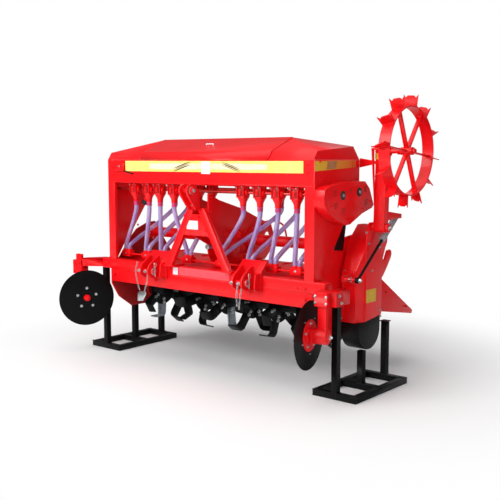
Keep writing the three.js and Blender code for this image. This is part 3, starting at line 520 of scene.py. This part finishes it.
addTurned(shape, [(axleFrom, 0), (axleFrom, axle - 2), (axleFrom + 2, axle), (hubFrom, axle),
                  (hubFrom, hub - 2), (hubFrom + 2, hub), (hubTo - 2, hub), (hubTo, hub - 2), (hubTo, axle),
                  (axleTo - 2, axle), (axleTo, axle - 2), (axleTo, 0)], (0, 0, 0), (1, 0, 0), 40)
addRing(shape, (-60, 0, 0), (1, 0, 0), axle - 0.5, 21, 12, 28)
addBar(shape, (52, 0, -21), (52, 0, 21), 2.6, sides=10, slot=1)
addBolt(shape, (2, 0, hub - 1), (0, 0, 1), 11, False, 1)
bmesh.ops.translate(shape, vec=wheel["centre"], verts=shape.verts)
finishPiece("ground_wheel_finished", shape, [redEnamel, zincPlate], "ground_wheel",
            ["ground_wheel"], 30)
print("ground wheel made")

# ---- feed cups under the hopper ----

shaftHeight = 1240


def cupTrim(row):
    y, spoutEnd = hoses[row]["y"], hoses["spout"]

    def trim(shape):
        for x in hoses[row]["cups"]:
            for side in (-1, 1):
                low, high = sorted((x + side * 31, x + side * 26))
                addBlock(shape, (low, y - 35, 1208), (high, y - 29, 1284), 0.8)
                addRing(shape, (x + side * 29, y, shaftHeight), (side, 0, 0), 12.5, 24, 13)
                addRing(shape, (x + side * 41, y, shaftHeight), (side, 0, 0), 12.5, 18, 6)
            # painted shade: a thin dark red sheet across the middle of the cup front, between the flange
            # strips
            addBlock(shape, (x - 25, y - 31.5, 1216), (x + 25, y - 30, 1272), 0.4, 1)
            addBlock(shape, (x - 12, y - 36, 1222), (x + 6, y - 31, 1262), 1, 0)
            addTurned(shape, [(1216, 0), (1216, 33), (1208, 34), (1196, 32), (1180, 23.5), (1172, 21.5),
                              (1164, 21)], (x, y, 0), (0, 0, 1), 24)
            addRing(shape, (x, y, spoutEnd), (0, 0, 1), 16.2, 21.5, 6, 24)
            addBlock(shape, (x - 62, y - 14, 1262), (x - 30, y - 10, 1284), 0.6)
            addBolt(shape, (x - 46, y - 14, 1274), (0, -1, 0), 13, True, 2)
            addBolt(shape, (x + 18, y - 31, 1280), (0, -1, 0), 9, False, 2)
    return trim


for row in ("front", "rear"):
    refineNode(row + "_feed_bank", [redEnamel, paintedShadeRed, zincPlate], 1.2, extra=cupTrim(row))

shape = bmesh.new()
for row in ("front", "rear"):
    for x in hoses[row]["cups"]:
        addRing(shape, (x, hoses[row]["y"], hoses["spout"] - 26), (0, 0, 1), 15.5, 18.8, 26, 28)
        addRing(shape, (x, hoses[row]["y"], hoses["spout"] - 29), (0, 0, 1), 15.5, 19.8, 4, 28)
finishPiece("hose_ferrules", shape, pinkFerrule, "root")
# the tube that turns the fertiliser shutters, with its plastic end
shape = bmesh.new()
addBar(shape, (-590, -236, 1296), (-668, -236, 1154), 20, sides=28, soft=1)
addBar(shape, (-664, -236, 1162), (-681, -236, 1131), 23, sides=28, soft=3, slot=1)
addRing(shape, (-610, -236, 1260), (-78, 0, -142), 19.5, 25, 14, 28)
finishPiece("rate_tube", shape, [redEnamel, blackRubberAndShade])
print("feed cups made")

# ---- rotor with its hoeing blades ----

tines = {
    "centre": (0, 72, 450), "half": 896, "tube": 45, "flange": 125, "flangeThick": 10, "flanges": 8,
    "pitch": 232, "each": 6, "reach": 232, "width": 80, "foot": 100,
    "bright": {(7, 2), (7, 4), (6, 1), (5, 3), (3, 2), (2, 4), (0, 3)},
}
shape = bmesh.new()
tube, half = tines["tube"], tines["half"]
addTurned(shape, [(-half, 0), (-half, tube - 2), (-half + 2, tube), (half - 2, tube), (half, tube - 2),
                  (half, 0)], (0, 0, 0), (1, 0, 0), 36)
for i in range(tines["flanges"]):
    x = (i - (tines["flanges"] - 1) / 2) * tines["pitch"]
    thick = tines["flangeThick"] / 2
    addRing(shape, (x - thick, 0, 0), (1, 0, 0), tube - 1, tines["flange"], thick * 2, 40)
    for side in (-1, 1):
        addRing(shape, (x + side * thick, 0, 0), (side, 0, 0), tube - 1, tube + 5, 5, 32)
    for k in range(tines["each"]):
        before = set(shape.verts)
        # the blades listed under bright get bare steel: partly worn steel, partly a painted highlight
        slot = 2 if (i, k) in tines["bright"] else 0
        reach = tines["reach"]
        plateY(shape, [(5, 70), (5, 196), (9, 214), (20, 228), (40, reach - 1), (tines["foot"], reach),
                       (tines["foot"], reach - 8), (41, reach - 9), (26, 221), (17, 210), (14, 194),
                       (14, 70)],
               -tines["width"] / 2, tines["width"] / 2, 0.9, slot)
        for vert in shape.verts:
            if vert not in before:
                out = max(vert.co.z - 110, 0) / 126
                vert.co.y = vert.co.y * (1 - 0.18 * max(vert.co.x - 30, 0) / 64) - 14 * out ** 1.6
        for radius in (84, 110):
            addBolt(shape, (14, 0, radius), (1, 0, 0), 17, True, 1, k)
            addBolt(shape, (-5, 0, radius), (-1, 0, 0), 17, True, 1, k)
        hand = Matrix.Rotation(math.pi if k % 2 else 0, 4, "Z")
        turn = Matrix.Rotation(math.tau * (k + i * 0.35) / tines["each"], 4, "X")
        moveNew(shape, before, Matrix.Translation((x, 0, 0)) @ turn @ hand)
bmesh.ops.translate(shape, vec=tines["centre"], verts=shape.verts)
finishPiece("rotor_finished", shape, [tineEnamel, zincPlate, wornSteelAndHighlight], "rotor",
            ["rotor"], 30)
print("rotor made")

# ---- side discs ----

discs = {
    "radius": 210, "thick": 5, "hole": 25.4, "flange": 97, "reach": 88, "height": 412,
    "hubBolts": 74, "rimBolts": 112,
    "right": {"stem": (1069, -440), "side": 1, "angle": 11, "shift": 0},
    "left": {"stem": (-1170, -424.5), "side": -1, "angle": -24, "shift": -40},
}
for name in ("right", "left"):
    side, angle = discs[name]["side"], math.radians(discs[name]["angle"])
    away = Vector((-side * math.cos(angle), -side * math.sin(angle), 0))
    stem = Vector((*discs[name]["stem"], discs["height"]))
    turn = Matrix.Translation(stem) @ turnTo(away)
    shape = bmesh.new()
    reach, thick, rim = discs["reach"], discs["thick"] / 2, discs["radius"]
    hole, hubBolts, rimBolts = discs["hole"], discs["hubBolts"], discs["rimBolts"]
    addTurned(shape, [(reach - thick, hole), (reach - thick, rim - 14), (reach - 0.5, rim),
                      (reach + 0.5, rim), (reach + thick, rim - 14), (reach + thick, hole),
                      (reach - thick, hole)],
              (0, 0, 0), (0, 0, 1), 96)
    flange = discs["flange"]
    addTurned(shape, [(reach + 12, 0), (reach + 12, 18.6), (reach - 14, 18.6), (reach - 14, 52),
                      (reach - 10, 56), (reach - 9, flange - 2), (reach - 7, flange),
                      (reach - thick - 0.4, flange),
                      (reach - thick - 0.4, 25), (reach + thick + 0.4, 25),
                      (reach + thick + 6, 24), (reach + 22, 23), (reach + 27, 20), (reach + 30, 12),
                      (reach + 30, 0)], (0, 0, 0), (0, 0, 1), 48, 1)
    upward = math.atan2(-away.y, -away.x)
    for k in range(5):
        spot = upward + math.tau * k / 5
        x, y = math.cos(spot), math.sin(spot)
        addBolt(shape, (hubBolts * x, hubBolts * y, reach - 9), (0, 0, -1), 14, True, 2, k)
        addBolt(shape, (hubBolts * x, hubBolts * y, reach + thick), (0, 0, 1), 14, True, 2, k)
        x, y = math.cos(spot + 0.6), math.sin(spot + 0.6)
        addBolt(shape, (rimBolts * x, rimBolts * y, reach - thick), (0, 0, -1), 10, False, 2, k)
    bmesh.ops.transform(shape, matrix=turn, verts=shape.verts)
    finishPiece(name + "_disc_finished", shape, [discEnamel, redEnamel, zincPlate], name + "_disc",
                [name + "_disc"], 30)
print("discs made")

# ---- hopper: trough, ends, striping film ----

stripe = {"low": 1370, "high": 1444, "from": -746, "to": 856}
front = -355  # the front face of the hopper and of the beam


def hopperTrim(shape):
    # a folded lip along the bottom edge, and bolts along the ends
    addBlock(shape, (-924, front - 2.5, 1287), (924, front + 1, 1296), 1)
    for x, z in ((889, 1419), (889, 1377), (-880, 1395), (-880, 1343)):
        addBolt(shape, (x, front, z), (0, -1, 0), 9, True, 0)
    for x in (-760, -420, -80, 260, 600):
        addBolt(shape, (x, 135, 1330), (0, 1, 0), 11, True, 1)
    for x in (-620, 0, 620):
        addBlock(shape, (x - 2, -351, 1420), (x + 2, 131, 1436), 0.5)


refineNode("hopper_shell", [redEnamel, zincPlate], 1, extra=hopperTrim)
refineNode("hopper_divider", redEnamel, 0.8)

shape = bmesh.new()
plateY(shape, [(stripe["from"], stripe["low"]), (stripe["to"], stripe["low"]), (stripe["to"], stripe["high"]),
               (stripe["from"], stripe["high"])], front - 0.5, front - 0.1)
plateY(shape, [(-490, 1390), (-300, 1387), (-60, 1389), (8, 1391), (8, 1424), (-60, 1427), (-300, 1428),
               (-490, 1424)], front - 0.9, front - 0.5, 0, 1)
plateY(shape, [(100, 1391), (300, 1388), (575, 1391), (575, 1423), (300, 1428), (100, 1425)],
       front - 0.9, front - 0.5, 0, 1)
plateY(shape, [(12, 1358), (93, 1358), (93, 1440), (12, 1440)], front - 1.1, front - 0.5, 0, 2)
for line, slots in (([(-255, 1382), (-215, 1392), (-175, 1405), (-130, 1418), (-83, 1427)], (3, 4, 3)),
                    ([(189, 1427), (236, 1418), (280, 1405), (320, 1392), (359, 1381)], (4, 3, 4))):
    for step, slot in zip((-10, 0, 10), slots):
        addRibbon(shape, [(x, z + step) for x, z in line], 7.5, front - 1.3, front - 0.9, slot)
finishPiece("hopper_striping", shape, [paleYellowFilm, creamFilm, whiteFilm, inkFilm, tanFilm])

shape = bmesh.new()
addBlock(shape, (-850, front - 16, 1370), (-752, front + 1, 1428), 3)
addBar(shape, (-800, front - 10, 1382), (-655, front - 12, 1352), 5, sides=14, slot=1)
addBolt(shape, (-800, front - 16, 1406), (0, -1, 0), 12, True, 2)
finishPiece("hopper_bracket", shape, [redEnamel, blackEnamelAndShade, zincPlate])


def rightEndTrim(shape):
    plateX(shape, [(-352, 1383), (95, 1404), (95, 1449), (-352, 1443)], 939.9, 940.5, 0, 1)
    plateX(shape, [(-232, 1393), (-128, 1398), (-118, 1444), (-222, 1441)], 940.5, 940.9, 0, 2)
    addWeld(shape, (940, 52, 1449), (940, 46, 1300), 2.4)
    addBolts(shape, [(940, -265, 1331), (940, -303, 1442), (940, 118, 1330), (940, 118, 1420)],
             (1, 0, 0), 11, 0)
    # the gusset that stands out behind the end stripe
    plateY(shape, [(940.3, 1462), (1086, 1441), (1086, 1431), (940.3, 1402)], 138, 145, 1)


# film that turns from one shade to another along an axis of the machine
def fadingFilm(name, low, high, axis, start, end):
    material, tree, place = newMaterial(name)
    parts = addNode(tree, "ShaderNodeSeparateXYZ", links={"Vector": place})
    along = addNode(tree, "ShaderNodeMapRange", {"From Min": start, "From Max": end},
                    {"Value": parts.outputs[axis]})
    colour = shadeRamp(tree, along.outputs["Result"], [(0.0, linear(low)), (1.0, linear(high))])
    return shaded(material, tree, {"IOR": 1.5},
                  {"Base Color": colour, "Roughness": spread(tree, grain(tree, place, 45, 3.0), 0.3, 0.46)})


endFilm = fadingFilm("endStripeFilm", "e6c83a", "e0702a", "Y", at(0, -352, 0).y, at(0, 95, 0).y)
refineNode("right_end_panel", [redEnamel, endFilm, tanFilm, zincPlate], 1.5, extra=rightEndTrim)
refineNode("left_end_panel", [redEnamel, zincPlate], 1.5,
           extra=lambda shape: addBolts(shape, [(-940, -265, 1331), (-940, -303, 1442), (-940, 100, 1330)],
                                        (-1, 0, 0), 11, 0))


def lidTrim(shape):
    # lifting hook, and the folded seams either side of the middle sheet
    before = set(shape.verts)
    addBar(shape, (-70, 0, 4), (-5, 0, 4), 4, sides=12, slot=1)
    for x in (-70, -5):
        addBar(shape, (x, 0, -4), (x, 0, 5), 4, sides=12, slot=1)
    moveNew(shape, before, Matrix.Translation((0, -215, 1555)))
    for x in (-586, 586):
        for (y0, z0), (y1, z1) in (((-324, 1505), (-112, 1596)), ((-112, 1596), (70, 1537))):
            addBar(shape, (x, y0, z0), (x, y1, z1), 2.4, sides=10)


refineNode("hopper_lid", [redEnamel, whiteFilm], 1, body="hopper_lid", extra=lidTrim)
for node in ("right_hip_cap", "left_hip_cap"):
    refineNode(node, redEnamel, 1)
print("hopper made")

# ---- drive case, chain case and the arm ----

drive = {
    "sticker": [(2, 555), (118, 555), (118, 638), (2, 638)],
    "frontBolts": [(966, 754), (938, 611), (968, 614), (940, 452), (1026, 721), (1060, 700)],
    "slots": [(-257, 1252), (-88, 1262), (80, 1266), (-250, 1176), (-168, 1142), (92, 1186)],
    "coverBolts": [(-330, 1240), (-300, 1176), (-128, 1084), (60, 1146), (140, 1190), (100, 1288),
                   (-100, 1284)],
    "sideBolts": [(-12, 1003), (170, 492), (172, 450), (60, 757), (150, 900), (20, 930)],
}


def driveTrim(shape):
    plateX(shape, drive["sticker"], 1089.9, 1090.6, 0, 2)
    for x, z in drive["frontBolts"]:
        addBolt(shape, (x, -55, z), (0, -1, 0), 15, True, 1)
    for y, z in drive["sideBolts"]:
        addBolt(shape, (1090, y, z), (1, 0, 0), 12, True, 1)
    addBlock(shape, (945, -61, 470), (962, -54, 752), 2)
    addBlock(shape, (966, -66, 672), (1044, -56, 760), 3)
    addWeld(shape, (1030, -160, 704), (1030, -62, 700), 3)
    addWeld(shape, (1030, -160, 742), (1030, -62, 752), 3)
    for side in (-1, 1):
        addBolt(shape, (1110 + side * 30, -160, 722), (side, 0, 0), 20, True, 1)
    addRing(shape, (1200, 66, 1030), (1, 0, 0), 3, 27, 9, 32, 0)
    addBolt(shape, (1208, 66, 1030), (1, 0, 0), 24, True, 1)


refineNode("side_drive_case", [redEnamel, zincPlate, yellowFilm], 2.5, extra=driveTrim)


def chainTrim(shape):
    for y, z in ((-172, 1236), (11, 1252)):
        addTurned(shape, [(0, 30), (5, 28), (7, 20), (7, 0)], (1019.5, y, z), (1, 0, 0), 28, 2)
        addTurned(shape, [(6.5, 12), (12, 11), (13, 8), (13, 0)], (1019.5, y, z), (1, 0, 0), 20, 1)
    # air slots in threes, cut aslant through the cover: drawn as thin black sheets on it, painted shade in
    # place of the openings
    for y, z in drive["slots"]:
        for step in (-13, 0, 13):
            plateX(shape, [(y - 19, z + step - 5), (y + 15, z + step), (y + 19, z + step + 4),
                           (y - 15, z + step)], 1022.2, 1022.8, 0, 2)
    for y, z in drive["coverBolts"]:
        addBolt(shape, (1022, y, z), (1, 0, 0), 8, True, 0)
    plateX(shape, [(-340, 1255), (-300, 1278), (90, 1300), (120, 1268), (160, 1180), (60, 1132), (-90, 1072),
                   (-128, 1070), (-232, 1106), (-316, 1156), (-346, 1196)], 1019, 1022.5, 1)


refineNode("chain_case", [redEnamel, zincPlate, blackRubberAndShade], 5, extra=chainTrim)


def armTrim(shape):
    # a weld along the channel's edge, the axle housing with its bolts, and a small blank plate
    addRing(shape, (1186, *wheel["centre"][1:]), (1, 0, 0), 16, 34, 12, 32)
    addBolts(shape, [(1187, 106, 1514), (1187, 58, 1476)], (1, 0, 0), 10)
    addBlock(shape, (1116, 38, 1455), (1172, 40.5, 1492), 0.4, 2)
    addWeld(shape, (1150, 110, 1068), (1150, 240, 1082), 3)


refineNode("wheel_arm", [redEnamel, zincPlate, yellowFilm], 2, body="wheel_arm", extra=armTrim)
refineNode("strut_rod", [blackEnamelAndShade, zincPlate], 0.8, "strut_rod")
refineNode("strut_sleeve", [greyTube, zincPlate], 0.8, "strut_sleeve")
print("drive side made")

# ---- front frame, hitches and their chains ----


def beamTrim(shape):
    # painted sheen: a pink sheet across the middle of the beam front
    plateY(shape, [(-207, 656), (257, 656), (257, 711), (-207, 711)], front - 0.5, front - 0.1, 0, 1)
    plateY(shape, [(-266, 655), (-218, 655), (-218, 706), (-266, 706)], front - 0.6, front - 0.1, 0, 2)
    addBolts(shape, [(880, front, 668), (820, front, 668)], (0, -1, 0), 11, 0)


refineNode("front_beam", [redEnamel, paintedPinkSheen, whiteFilm, zincPlate], 5, extra=beamTrim)


def frameTrim(shape):
    plateY(shape, [(-85, 986), (19, 986), (19, 1045), (-85, 1045)], -399.2, -397.8, 0, 2)
    addBolts(shape, [(-102, -400, 1074), (29, -400, 1072), (91, -400, 982), (-91, -400, 982),
                     (-112, -400, 1020)], (0, -1, 0), 11, 0)
    for side in (-1, 1):
        addBolts(shape, [(side * 268 + 26, -395, 727), (side * 268 - 26, -395, 727)], (0, 0, 1), 12, 0)
        addWeld(shape, (side * 240, -368, 728), (side * 296, -368, 728), 3.4)


refineNode("a_frame", [redEnamel, zincPlate, whiteFilm], 2.5, extra=frameTrim)


def clevisTrim(shape):
    addRing(shape, (40, -480, 1250), (1, 0, 0), 11, 26, 6, 32, 1)
    addBolt(shape, (52, -480, 1250), (1, 0, 0), 27, True, 1)
    addBolt(shape, (-50, -480, 1250), (-1, 0, 0), 22, True, 1)
    addBolts(shape, [(20, -414, 1150), (-20, -414, 1150), (20, -414, 1188), (-20, -414, 1188)],
             (0, -1, 0), 13)


refineNode("top_link_clevis", [redEnamel, zincPlate], 2, extra=clevisTrim)

hitch = {
    "left": {
        "bolts": [(-471, 678), (-410, 676)],
        "chains": [[(-505, -470, 728), (-520, -474, 677), (-503, -478, 607), (-488, -480, 566),
                    (-470, -480, 532)],
                   [(-399, -474, 645), (-405, -478, 588), (-424, -480, 540)]],
    },
    "right": {
        "bolts": [(391, 674), (450, 673)],
        "chains": [[(468, -478, 634), (458, -480, 570), (450, -480, 503)],
                   [(446, -486, 670), (438, -488, 598), (441, -488, 535)]],
    },
}


def hitchTrim(name, side):
    def trim(shape):
        x = side * 430
        reach = 46
        addRing(shape, (x - reach - 8, -440, 675), (1, 0, 0), 13, 22, 8, 28, 1)
        addRing(shape, (x + reach + 14, -440, 675), (1, 0, 0), 10, 25, 5, 28, 1)
        addBar(shape, (x + reach + 26, -440, 640), (x + reach + 26, -440, 712), 3.4, sides=10, slot=1)
        addLink(shape, (x + reach + 28, -440, 722), (0, 0, 1), (0, 1, 0), 34, 24, 2.6, 1)
        for along, height in hitch[name]["bolts"]:
            addBolt(shape, (along, -484, height), (0, -1, 0), 17, True, 1)
        addBolts(shape, [(x + 70, -369, 700), (x + 70, -369, 660), (x - 70, -369, 700), (x - 70, -369, 660)],
                 (0, -1, 0), 13, 0)
        for chain in hitch[name]["chains"]:
            addChain(shape, chain, 15, 12, 1.9, 1)
        if name == "left":
            plateY(shape, [(-495, 515), (-474, 528), (-412, 531), (-407, 517), (-434, 478), (-444, 463),
                           (-497, 457)], -482, -478, 1, 1)
    return trim


for name, side in (("left", -1), ("right", 1)):
    refineNode(name + "_lower_hitch", [redEnamel, zincPlate], 2, extra=hitchTrim(name, side))


def gearboxTrim(shape):
    for x in (-52, 52):
        for y in (-14, 75, 164):
            addBolt(shape, (x, y, 984), (0, 0, 1), 15, True, 1)
    addTurned(shape, [(0, 26), (8, 26), (12, 20), (22, 16), (24, 0)], (0, 110, 984), (0, 0, 1), 28, 2)
    addBoltCircle(shape, (0, -110, 860), 44, (0, -1, 0), 11, False)
    addBoltCircle(shape, (0, 215, 860), 38, (0, 1, 0), 11, True)
    for z in (790, 830, 900, 940):
        addBlock(shape, (-60, 188, z - 3), (60, 194, z + 3), 1)


refineNode("gearbox", [redEnamel, zincPlate, blackRubberAndShade], 4, extra=gearboxTrim)
print("front frame made")

# ---- hood, side plates, tubes, boots, disc stems ----


# faces that look along a direction get another slot: painted shade, a darker material on the inner sides and
# the undersides
def paintShadeOnFaces(shape, direction, slot, least=0.5):
    shape.normal_update()
    for face in shape.faces:
        if face.normal.dot(Vector(direction)) > least:
            face.material_index = slot


def hoodTrim(shape):
    for x in (-760, -380, 380, 760):
        addBlock(shape, (x - 3, 60, 729), (x + 3, 330, 744), 1)
    for x in (-880, -440, 440, 880):
        addBolt(shape, (x, -358, 600), (0, -1, 0), 11, True, 0)
    # painted shade: the faces that look down get black enamel
    paintShadeOnFaces(shape, (0, 0, -1), 2)


def plateTrim(side):
    def trim(shape):
        x = side * 930.3
        bearing = (x, *tines["centre"][1:])
        addBoltCircle(shape, bearing, 96, (side, 0, 0), 17, True, 0.3)
        addBolts(shape, [(x, -300, 600), (x, -240, 470), (x, 300, 600), (x, 250, 480), (x, -240, 700)],
                 (side, 0, 0), 13, 0)
        # painted shade: the faces that look inwards get the darker red
        paintShadeOnFaces(shape, (-side, 0, 0), 2)
        if side < 0:
            addTurned(shape, [(0, 70), (10, 70), (14, 64), (16, 40), (34, 36), (36, 30), (36, 0)],
                      bearing, (side, 0, 0), 40)
            addBolts(shape, [(x, -74, 952), (x, -96, 891), (x, -56, 857)], (side, 0, 0), 12, 0)
        else:
            plateX(shape, [(-117, 1027), (-4, 1045), (-36, 882), (-126, 890)], x, x + 8, 1, 3)
    return trim


refineNode("hood", [redEnamel, zincPlate, blackEnamelAndShade], 1.2, extra=hoodTrim)
for name, side in (("left", -1), ("right", 1)):
    refineNode(name + "_side_plate", [redEnamel, zincPlate, paintedShadeRed, blackEnamelAndShade], 1.5,
               extra=plateTrim(side))


tubes = {"outer": 906, "inner": 103, "y": 72, "z": 893, "boltCircle": 51}


def tubeTrim(side):
    def trim(shape):
        for x, way in ((side * tubes["outer"], -side), (side * tubes["inner"], side)):
            centre = (x, tubes["y"], tubes["z"])
            addBoltCircle(shape, centre, tubes["boltCircle"], (way, 0, 0), 11, False, 0.2)
    return trim


for name, side in (("left", -1), ("right", 1)):
    refineNode(name + "_cross_tube", [redEnamel, zincPlate], 1, extra=tubeTrim(side))


def braceTrim(side):
    def trim(shape):
        x = side * 90.3
        addBolts(shape, [(x, -350, 1180), (x, -350, 1110), (x, 0, 780), (x, 120, 780), (x, 140, 960),
                         (x, 0, 960), (x, -340, 1200)], (side, 0, 0), 12, 0)
    return trim


# the bent rod behind the right brace plate
shape = bmesh.new()
bend = smoothLine([(97.5, 40, 957), (97.5, 100, 985), (97.5, 195, 1006), (97.5, 346, 1003), (97.5, 440, 962),
                   (97.5, 491, 816)], 6)
for a, b in zip(bend, bend[1:]):
    addBar(shape, a, b + (b - a).normalized() * 1.5, 7, sides=14)
addBolt(shape, (104, 60, 967), (1, 0, 0), 14, True)
finishPiece("rear_bent_rod", shape, redEnamel)

for name, side in (("left", -1), ("right", 1)):
    refineNode(name + "_brace_plate", [redEnamel, zincPlate], 1.5, extra=braceTrim(side))


def bootTrim(shape):
    for left, right in zip(hoses["front"]["boots"], hoses["rear"]["boots"]):
        for x in (left, right):
            addRing(shape, (x, hoses["bootY"], hoses["boot"] - 1), (0, 0, 1), 16.4, 20, 16, 24)
        addBolt(shape, ((left + right) / 2, -259, 752), (0, -1, 0), 10, True, 2)


refineNode("boot_bar", [redEnamel, blackRubberAndShade, zincPlate], 1.2, extra=bootTrim)


def stemTrim(name):
    side, angle = discs[name]["side"], math.radians(discs[name]["angle"])
    out = Vector((side * math.cos(angle), side * math.sin(angle), 0))
    stem = Vector((*discs[name]["stem"], discs["height"]))

    def trim(shape):
        addTurned(shape, [(26, 46.5), (33, 46), (36, 40), (36, 30), (44, 29), (46, 24), (46, 0)],
                  stem, out, 36)
        addRing(shape, stem - out * 60, out, 45, 50, 8, 36)
        addBolt(shape, stem + out * 45, out, 20, True, 1)
        shift = discs[name]["shift"]
        addWeld(shape, stem + Vector((shift - 30, -13, 47)), stem + Vector((shift + 30, -13, 47)), 3.5)
    return trim


for name in ("right", "left"):
    refineNode(name + "_disc_stem", [redEnamel, zincPlate], 1.5, extra=stemTrim(name))
refineNode("right_disc_bracket", [redEnamel, zincPlate], 1.5, extra=lambda shape: (
    addBolts(shape, [(1030, -466, 655), (1108, -466, 655), (1030, -466, 615), (1108, -466, 615)],
             (0, -1, 0), 12),
    addBolts(shape, [(1154, -400, 660), (1154, -375, 615)], (1, 0, 0), 14)))
refineNode("left_disc_bracket", [redEnamel, zincPlate], 1.5, extra=lambda shape: (
    addBolts(shape, [(-1245, -450.5, 670), (-1175, -450.5, 670), (-1245, -450.5, 605), (-1175, -450.5, 605)],
             (0, -1, 0), 12, 0)))
print("hood and side plates made")

# ---- stands ----


stands = {"x": 1062.5, "posts": (-287.5, 0, 287.5), "rearTop": 400, "rail": 139}


def standTrim(x):
    def trim(shape):
        for y in stands["posts"]:
            for step in (-20, 20):
                addWeld(shape, (x - 20, y + step, 41), (x + 20, y + step, 41), 3)
            for step in (-stands["rail"], stands["rail"]):
                addWeld(shape, (x + step - 20, y - 20, 41), (x + step + 20, y - 20, 41), 2.4)
        y, top = stands["posts"][-1], stands["rearTop"]
        addBlock(shape, (x - 27, y - 27, top - 6), (x + 27, y + 27, top), 1)
    return trim


for name, side in (("left", -1), ("right", 1)):
    refineNode(name + "_stand", blackEnamelAndShade, 2, extra=standTrim(side * stands["x"]))
refineNode("drive_case_guard", blackEnamelAndShade, 2)


tail = {"hinge": (0, 404, 664), "edge": (0, 868, 372), "ribs": (-700, -350, 350, 700), "half": 930}


def tailTrim(shape):
    start = Vector(tail["hinge"])
    along = (Vector(tail["edge"]) - start).normalized()
    up = Vector((0, -along.z, along.y))
    for x in tail["ribs"]:
        a, b = start + along * 70 + up * 6, start + along * 530 + up * 6
        addBar(shape, a + Vector((x, 0, 0)), b + Vector((x, 0, 0)), 9, sides=4, soft=1.5, turn=math.pi / 4)
    for x in (-820, -480, 0, 480, 820):
        addBolt(shape, start + along * 46 + up * 4 + Vector((x, 0, 0)), up, 16, True, 1)
    edge, half = start + along * 535 + up * 4, Vector((tail["half"], 0, 0))
    addBar(shape, edge - half, edge + half, 8, sides=16)
    for side in (-1, 1):
        addBolts(shape, [(side * 944, 491, 551), (side * 944, 772, 414)], (side, 0, 0), 13, 0)
    # painted shade: the faces under the board get black enamel
    paintShadeOnFaces(shape, -up, 2, 0.8)


refineNode("tail_board", [redEnamel, zincPlate, blackEnamelAndShade], 1.2, body="tail_board", extra=tailTrim)
refineNode("pto_shaft", turnedSteel, 0.8, "pto_shaft")
for node in ("front_feed_shaft", "rear_feed_shaft"):
    refineNode(node, oiledShaft, 0.8, node)
print("stands and tail board made")

# ---- light, floor and world ----

studio = {
    "key": {"place": (-1100, -4700, 3700), "size": 3.0, "power": 215},
    "front": {"place": (2500, -6000, 3200), "size": 2.5, "power": 75},
    "right": {"place": (6000, -500, 3000), "size": 3.0, "power": 30},
    "top": {"place": (0, -600, 5200), "size": 4.0, "power": 70},
    "rear": {"place": (-200, 5200, 3300), "size": 3.5, "power": 45},
    "aim": (0, 0, 800),
    "sky": 0.36,
    "horizon": 0.12,
}
for name in ("key", "front", "right", "top", "rear"):
    lamp = bpy.data.lights.new(name + "_light", "AREA")
    lamp.size = studio[name]["size"]
    lamp.energy = studio[name]["power"]
    lampObject = bpy.data.objects.new(name + "_light", lamp)
    lampObject.location = at(*studio[name]["place"])
    aim = at(*studio["aim"]) - lampObject.location
    lampObject.rotation_euler = aim.to_track_quat("-Z", "Y").to_euler()
    bpy.context.scene.collection.objects.link(lampObject)

world = bpy.data.worlds.new("studioWhite")
bpy.context.scene.world = world
world.use_nodes = True
tree = world.node_tree
tree.nodes.clear()
rays = addNode(tree, "ShaderNodeLightPath")
seen = addNode(tree, "ShaderNodeMath",
               links={0: rays.outputs["Is Camera Ray"], 1: rays.outputs["Is Transmission Ray"]},
               operation="MAXIMUM")
way = addNode(tree, "ShaderNodeSeparateXYZ",
              links={"Vector": addNode(tree, "ShaderNodeTexCoord").outputs["Generated"]})
rise = addNode(tree, "ShaderNodeMapRange",
               {"From Min": 0.05, "From Max": 0.6, "To Min": studio["horizon"], "To Max": studio["sky"]},
               {"Value": way.outputs["Z"]})
sky = addNode(tree, "ShaderNodeBackground", {"Color": linear("f4f5f7")}, {"Strength": rise.outputs["Result"]})
white = addNode(tree, "ShaderNodeBackground", {"Color": (1, 1, 1, 1), "Strength": 1.0})
both = addNode(tree, "ShaderNodeMixShader",
               links={0: seen.outputs["Value"], 1: sky.outputs["Background"], 2: white.outputs["Background"]})
addNode(tree, "ShaderNodeOutputWorld", links={"Surface": both.outputs["Shader"]})

floorShape = bmesh.new()
bmesh.ops.create_grid(floorShape, x_segments=1, y_segments=1, size=14,
                      matrix=Matrix.Translation((0, 0, -0.0015)))
floorMesh = bpy.data.meshes.new("floor")
floorShape.to_mesh(floorMesh)
floorShape.free()
# matt white paper; far from the machine the camera sees it as plain white, like the backdrop
floorMaterial, tree, place = newMaterial("paleStudioFloor")
paper = addNode(tree, "ShaderNodeBsdfPrincipled", {"Base Color": linear("fbfbfb"), "Roughness": 0.9})
distance = addNode(tree, "ShaderNodeVectorMath", links={"Vector": place}, operation="LENGTH")
far = addNode(tree, "ShaderNodeMapRange", {"From Min": 1.0, "From Max": 2.6},
              {"Value": distance.outputs["Value"]}, interpolation_type="SMOOTHSTEP")
rays = addNode(tree, "ShaderNodeLightPath")
plain = addNode(tree, "ShaderNodeMath", links={0: far.outputs["Result"], 1: rays.outputs["Is Camera Ray"]},
                operation="MULTIPLY")
glow = addNode(tree, "ShaderNodeEmission", {"Color": (1, 1, 1, 1), "Strength": 1.0})
ground = addNode(tree, "ShaderNodeMixShader",
                 links={0: plain.outputs["Value"], 1: paper.outputs["BSDF"], 2: glow.outputs["Emission"]})
addNode(tree, "ShaderNodeOutputMaterial", links={"Surface": ground.outputs["Shader"]})
floorMesh.materials.append(floorMaterial)
floor = bpy.data.objects.new("floor", floorMesh)
bpy.context.scene.collection.objects.link(floor)
bpy.context.scene.view_settings.view_transform = "Standard"
print("studio set")
